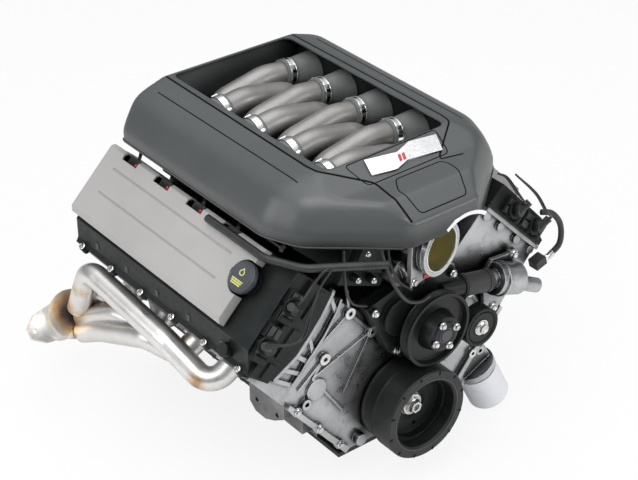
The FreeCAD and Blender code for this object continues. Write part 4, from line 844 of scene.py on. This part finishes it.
def pulleys():
    s = Shape()
    front = V(0, -1, 0)
    s.lathe([(11.5, 0), (11.5, 1.8), (10.6, 2.8), (2, 2.8)], (33, -628.0, 158.6), front, 56)
    s.ring(12.2, 14.6, 0, 0.8, (33, -628.0, 158.6), front, 56, 0, 0.2)
    s.make("pump_hub_cap", "cap", "pump_rotor", "painted_black", bevel=0.2)
    i = Shape()
    i.ring(16.5, 29, 0, 1.6, (144.7, -600.1, 112.7), front, 56, 0, 0.5)
    i.ring(17.5, 19.0, 1.4, 2.3, (144.7, -600.1, 112.7), front, 56, 0, 0.3)
    i.make("idler_shield", "paint", "idler", "painted_black")
    n = Shape()
    for k in range(12):
        a = 2 * math.pi * k / 12 + 0.2
        o = V(math.cos(a), 0, math.sin(a))
        n.block(V(0, -625.1, 0) + o * 83.4, (o, o.cross(front), front), (6.4, 3.6, 0.5))
    n.make("damper_notches", "seam", "crank", "painted_black")
    r = Shape()
    r.ring(70.6, 72.2, 0, 0.5, (0, -624.9, 0), front, 96, 0, 0.2)
    r.make("damper_inner_edge", "ring", "crank", "painted_black")


def throttle():
    s = Shape()
    p, d = THROTTLE, THROTTLE_DIR
    # painted reflection: brass-yellow lining of the throttle bore
    s.lathe([(39.94, -60), (39.94, -3.0), (39.7, -3.0), (39.7, -60), (39.94, -60)], p, d, 72, 0,
            (False, False))
    s.make("throttle_bore", "bore", slot="brass_plate")
    r = Shape()
    r.ring(39.9, 42.6, -0.6, 0.9, p, d, 80, 0, 0.6)
    r.ring(46.5, 50.2, -9.6, -7.4, p, d, 80, 0, 0.6)
    r.make("throttle_rim", "machined", slot="machined_steel")


def timing_faces():
    s = Shape()
    front = V(0, -1, 0)
    for sg in (-1, 1):
        for x, z in ((113, 222), (167, 151), (63.5, 163.6)):
            s.ring(4.6, 10.8, 0, 0.5, (sg * x, -547.0, z), front, 48, 0, 0.2)
            s.ring(4.3, 6.2, 0.4, 1.0, (sg * x, -547.0, z), front, 36, 0, 0.2)
        for x, z in ((134, -48), (180, 9), (228, 68)):
            if not (sg < 0 or x > 200):
                s.ring(3.6, 8.7, 0, 0.4, (sg * x, -548.0, z), front, 36, 0, 0.15)
    s.make("boss_faces", "machined", slot="machined_steel")


# Cam cover dressing

def coil_locks():
    s, b = Shape(), Shape()
    for place_of, t, n, ys in ((rb, RT, RN, RIGHT), (lb, LT, LN, LEFT)):
        for y in ys:
            w = V(0, 1, 0)
            s.block(place_of(-80, y + 10, 425.0), (t, w, n), (5, 6, 1.6))
            b.block(place_of(-79.5, y + 20, 425.6), (t, w, n), (9, 15, 3.0))
            b.block(place_of(-74.5, y + 19, 422), (t, w, n), (3, 22, 9))
    s.make("coil_locks", "red", slot="black_plastic", bevel=0.4)
    b.make("coil_plug_tops", "black", slot="black_plastic", bevel=0.8)


def cover_fronts():
    """Moulded blocks, seams and sensor bodies on the front faces of the cam covers."""
    s, k, g = Shape(), Shape(), Shape()
    for place_of, t, n in ((rb, RT, RN), (lb, LT, LN)):
        w = V(0, 1, 0)
        for t0 in (-62, -30, 2, 34):
            for j in range(2):
                s.block(place_of(t0 + 12, -561.2, 380 + 15 * j), (t, n, w), (20, 11.5, 3.2))
        for t0 in (-46, -14, 18):
            k.block(place_of(t0 + 8, -552.6, 386), (t, n, w), (2.4, 38, 2.2))
        k.block(place_of(-2, -552.6, 369), (t, n, w), (176, 2.4, 2.0))
        g.block(place_of(-2, -551.6, 366.2), (t, n, w), (188, 1.5, 3.4))
        for sg in (-1, 1):
            c = place_of(sg * 38, -541, 383)
            d = (w * -1 + n * 0.25).normalized()
            k.ring(12.5, 17.2, 20, 25.5, c, d, 48, 0, 1.0)
            k.ring(9.0, 11.8, 26, 35, c, d, 40, 0, 1.2)
            for a in range(8):
                u, v, _ = basis(d)
                o = u * math.cos(a * math.pi / 4) + v * math.sin(a * math.pi / 4)
                k.block(c + d * 22.5 + o * 17.2, (o, o.cross(d), d), (2, 3.4, 7))
    s.make("front_blocks", "black_rib", slot="black_plastic", bevel=0.9)
    k.make("front_seams", "black", slot="black_plastic", bevel=0.4)
    g.make("cover_gasket_edge", "rubber", slot="rubber", bevel=0.3)


def cover_edges():
    """Bolt bosses' skirts, clips and the rolled edge along both cam covers."""
    s, m = Shape(), Shape()
    for place_of, t, n in ((rb, RT, RN), (lb, LT, LN)):
        w = V(0, 1, 0)
        for y in [-50 - 96 * i for i in range(6)]:
            c = place_of(98, y, HEAD_N + 0.4)
            s.lathe([(9.5, 0), (9.2, 4), (7.4, 9), (7.35, 13.6), (6.8, 14.5), (6.75, 14.5)], c, n, 32)
            s.block(place_of(90, y, 373), (t, w, n), (14, 8, 12))
        for y in [-98 - 96 * i for i in range(5)]:
            s.block(place_of(96.5, y - 14, 371), (t, w, n), (3.2, 26, 8))
            m.block(place_of(80, y + 4, 388.6), ((t - n).normalized(), w, (t + n).normalized()), (13, 9, 1.6))
        s.sweep([place_of(97.2, y, 366.6) for y in (-30, -150, -300, -450, -548)], 1.6, 10)
    s.make("cam_cover_skirts", "black", slot="black_plastic", bevel=0.8)
    m.make("cam_cover_pads", "black_rib", slot="black_plastic", bevel=0.5)


def wires():
    s = Shape()
    # leads from the front sensor plugs of the visible bank, up under the intake cover
    for k, t0 in enumerate((-38, 38)):
        a = rb(t0, -541, 383) + V(0, -36, 9) + RN * 14
        for off in (-1.6, 1.6):
            q = a + V(off, 0, off * 0.6)
            if k == 0:
                s.wire([q, q + V(6, -10, 8), (-222 + off, -585, 345), (-205 + off, -590, 366),
                        (-188, -596, 372)], 1.7)
            else:
                s.wire([q, q + V(-8, -12, 6), (-262 + off * 2, -600, 262), (-236 + off, -596, 305),
                        (-214, -592, 340), (-196, -598, 368)], 1.7)
    # left bank
    for k, t0 in enumerate((-38, 38)):
        a = lb(t0, -541, 383) + V(0, -36, 9) + LN * 14
        for off in (-1.6, 1.6):
            q = a + V(-off, 0, off * 0.6)
            if k == 0:
                s.wire([q, q + V(-4, -8, 8), (236 + off, -580, 345), (226 + off, -560, 372),
                        (214, -548, 380)], 1.7)
            else:
                s.wire([q, q + V(9, -10, 8), (300 + off, -590, 290), (280 + off, -580, 330),
                        (246, -560, 372)], 1.7)
    s.make("sensor_leads", "wire", slot="rubber")


def front_dressing():
    """Hose and bracket work between the intake, the pump and the timing cover."""
    h = Shape()
    h.wire([(-96, -600, 372), (-92, -612, 340), (-78, -618, 300), (-52, -620, 262), (-20, -618, 246),
            (6, -612, 244)], 3.2)
    h.wire([(-60, -575, 372), (-66, -590, 330), (-52, -598, 290), (-24, -600, 262)], 2.4)
    h.wire([(-140, -560, 366), (-150, -575, 330), (-146, -578, 290), (-128, -574, 262),
            (-100, -572, 246)], 2.6)
    h.make("vacuum_lines", "wire", slot="rubber")
    c = Shape()
    c.wire([(318, -560, 268), (338, -567, 262), (357, -569, 240), (366, -569, 214), (364, -569, 188),
            (350, -566, 172)], 5.6, n=14)
    c.block((322, -558, 160), ((1, 0, 0.3), (-0.3, 0, 1), (0, 1, 0)), (26, 18, 22))
    c.make("left_bank_hose", "rubber", slot="rubber", bevel=1.0)
    c = Shape()
    c.wire([(352, -566.5, 174), (343, -564, 165), (332, -562, 161)], 6.6, n=16)
    c.make("left_bank_sleeve", "machined", slot="machined_steel")
    b = Shape()
    y0 = COVER_FACE
    b.prism([(-150, y0, 300), (-60, y0, 262), (-42, y0, 285), (-42, y0, 370), (-118, y0, 370)], (0, -10, 0))
    b.prism([(-128, y0 - 10, 330), (-70, y0 - 10, 300), (-64, y0 - 10, 320), (-64, y0 - 10, 366),
             (-108, y0 - 10, 366)], (0, -16, 0))
    for x, z in ((-120, 306), (-86, 292), (-62, 350), (-100, 350)):
        b.lathe([(7.5, 0), (7.5, 15), (6.6, 17), (6, 17)], (x, y0 - 10, z), (0, -1, 0), 28)
    b.prism([(-34, y0 - 30, 268), (6, y0 - 30, 262), (12, y0 - 30, 288), (-30, y0 - 30, 296)], (0, -20, 0))
    b.make("front_bracket", "black", slot="black_plastic", bevel=1.6)
    n = Shape()
    for x, z in ((-120, 306), (-86, 292), (-62, 350), (-100, 350)):
        n.bolt((x, y0 - 27, z), (0, -1, 0), 3.8)
    n.make("bracket_bolts", "bolt", slot="bolt_steel", sharp=30)
    r = Shape()
    r.block((10, y0 - 51, 276), ((1, 0, -0.15), (0.15, 0, 1), (0, 1, 0)), (15, 8, 2.4))
    r.block((-14, y0 - 51, 281), ((1, 0, -0.15), (0.15, 0, 1), (0, 1, 0)), (5, 10, 2.4))
    r.make("connector_lock", "red", slot="black_plastic", bevel=0.4)


def plug_wires():
    """Leads of the coil plugs, running under the edge of the intake cover."""
    s = Shape()
    for place_of, t, n, ys in ((rb, RT, RN, RIGHT), (lb, LT, LN, LEFT)):
        for y in ys:
            a = place_of(-91, y + 19, 418)
            for o in (-3, 0, 3):
                b = a + V(0, o, 0)
                s.wire([b, b - t * 7 + n * 2, b - t * 13 + n * 9 + V(0, -4, 0)], 1.3, n=8)
    s.make("coil_leads", "wire", slot="rubber")


# Camera, light, floor

def place_camera():
    cam = bpy.data.cameras.new("photo_camera")
    cam.sensor_width = 36.0
    cam.lens = 36.0 * 1700.0 / 638.0
    cam.clip_start = 0.05
    cam.clip_end = 100.0
    o = bpy.data.objects.new("photo_camera", cam)
    a, e = math.radians(38.3), math.radians(32.0)
    right = V(math.cos(a), -math.sin(a), 0)
    up = V(math.sin(a) * math.sin(e), math.cos(a) * math.sin(e), math.cos(e))
    back = right.cross(up)
    rot = Matrix((right, up, back)).transposed()
    o.matrix_world = Matrix.Translation((-1.6222, -2.3717, 1.8485)) @ rot.to_4x4()
    bpy.context.scene.collection.objects.link(o)
    bpy.context.scene.camera = o


def area(name, loc, target, size, power):
    d = bpy.data.lights.new(name, "AREA")
    d.shape = "RECTANGLE"
    d.size, d.size_y = size
    d.energy = power
    o = bpy.data.objects.new(name, d)
    o.location = loc
    o.rotation_euler = (Vector(target) - Vector(loc)).to_track_quat("-Z", "Y").to_euler()
    bpy.context.scene.collection.objects.link(o)


def seen(n, l):
    """1 for rays from the camera, for mirror rays and for transmitted rays, otherwise 0."""
    lp = n.new("ShaderNodeLightPath")
    out = lp.outputs["Is Camera Ray"]
    for key in ("Is Glossy Ray", "Is Transmission Ray"):
        m = n.new("ShaderNodeMath")
        m.operation = "MAXIMUM"
        l.new(out, m.inputs[0])
        l.new(lp.outputs[key], m.inputs[1])
        out = m.outputs[0]
    return lp, out


def studio():
    w = bpy.data.worlds.new("studio")
    bpy.context.scene.world = w
    w.use_nodes = True
    n, l = w.node_tree.nodes, w.node_tree.links
    n.clear()
    out = n.new("ShaderNodeOutputWorld")
    dim, white = n.new("ShaderNodeBackground"), n.new("ShaderNodeBackground")
    dim.inputs["Color"].default_value = (1, 1, 1, 1)
    dim.inputs["Strength"].default_value = 0.5
    lp, fac = seen(n, l)
    tc = n.new("ShaderNodeTexCoord")
    sep = n.new("ShaderNodeSeparateXYZ")
    l.new(tc.outputs["Generated"], sep.inputs["Vector"])
    grad = ramp(n, l, spread(n, l, sep.outputs["Z"], 0.0, 1.0, -1.0, 1.0),
                [(0.0, (0.8, 0.8, 0.8)), (0.5, (0.30, 0.31, 0.32)), (0.62, (0.20, 0.21, 0.22)),
                 (0.80, (0.50, 0.51, 0.52)), (0.93, (1.0, 1.0, 1.0))])
    l.new(mix(n, l, lp.outputs["Is Glossy Ray"], (1, 1, 1), grad), white.inputs["Color"])
    white.inputs["Strength"].default_value = 1.0
    m = n.new("ShaderNodeMixShader")
    l.new(fac, m.inputs["Fac"])
    l.new(dim.outputs[0], m.inputs[1])
    l.new(white.outputs[0], m.inputs[2])
    l.new(m.outputs[0], out.inputs["Surface"])


def floor():
    me = bpy.data.meshes.new("floor")
    s, z = 14.0, cad_box[0][2] - 0.0003
    me.from_pydata([(-s, -s, z), (s, -s, z), (s, s, z), (-s, s, z)], [], [(0, 1, 2, 3)])
    o = bpy.data.objects.new("floor", me)
    bpy.context.scene.collection.objects.link(o)
    m, n, l = new_material("floor_pale")
    out = n.new("ShaderNodeOutputMaterial")
    diff = n.new("ShaderNodeBsdfDiffuse")
    diff.inputs["Color"].default_value = (0.93, 0.93, 0.93, 1)
    emit = n.new("ShaderNodeEmission")
    emit.inputs["Color"].default_value = (1, 1, 1, 1)
    emit.inputs["Strength"].default_value = 1.0
    lp = n.new("ShaderNodeLightPath")
    fac = n.new("ShaderNodeMath")
    fac.operation = "MULTIPLY"
    l.new(lp.outputs["Is Camera Ray"], fac.inputs[0])
    fac.inputs[1].default_value = 0.86
    ms = n.new("ShaderNodeMixShader")
    l.new(fac.outputs[0], ms.inputs["Fac"])
    l.new(diff.outputs[0], ms.inputs[1])
    l.new(emit.outputs[0], ms.inputs[2])
    l.new(ms.outputs[0], out.inputs["Surface"])
    me.materials.append(m)


bpy.context.scene.view_settings.view_transform = "Standard"
place_camera()
studio()
floor()
area("key", (-1.6, -1.2, 2.6), (0, -0.3, 0.2), (2.2, 1.6), 40)
area("top", (0.3, -0.2, 3.0), (0, -0.3, 0.3), (2.6, 2.6), 30)
area("front", (1.4, -3.0, 1.1), (0, -0.4, 0.1), (1.6, 1.2), 24)
area("side", (-3.0, 0.3, 1.2), (-0.2, -0.3, 0.1), (1.4, 1.4), 16)

surface = cover_lines(intake_cover())
arch_lip()
badge_inlay(surface)
engine_bolts()
clamps()
filler_cap()
pulleys()
throttle()
timing_faces()
coil_locks()
cover_fronts()
cover_edges()
wires()
plug_wires()
front_dressing()
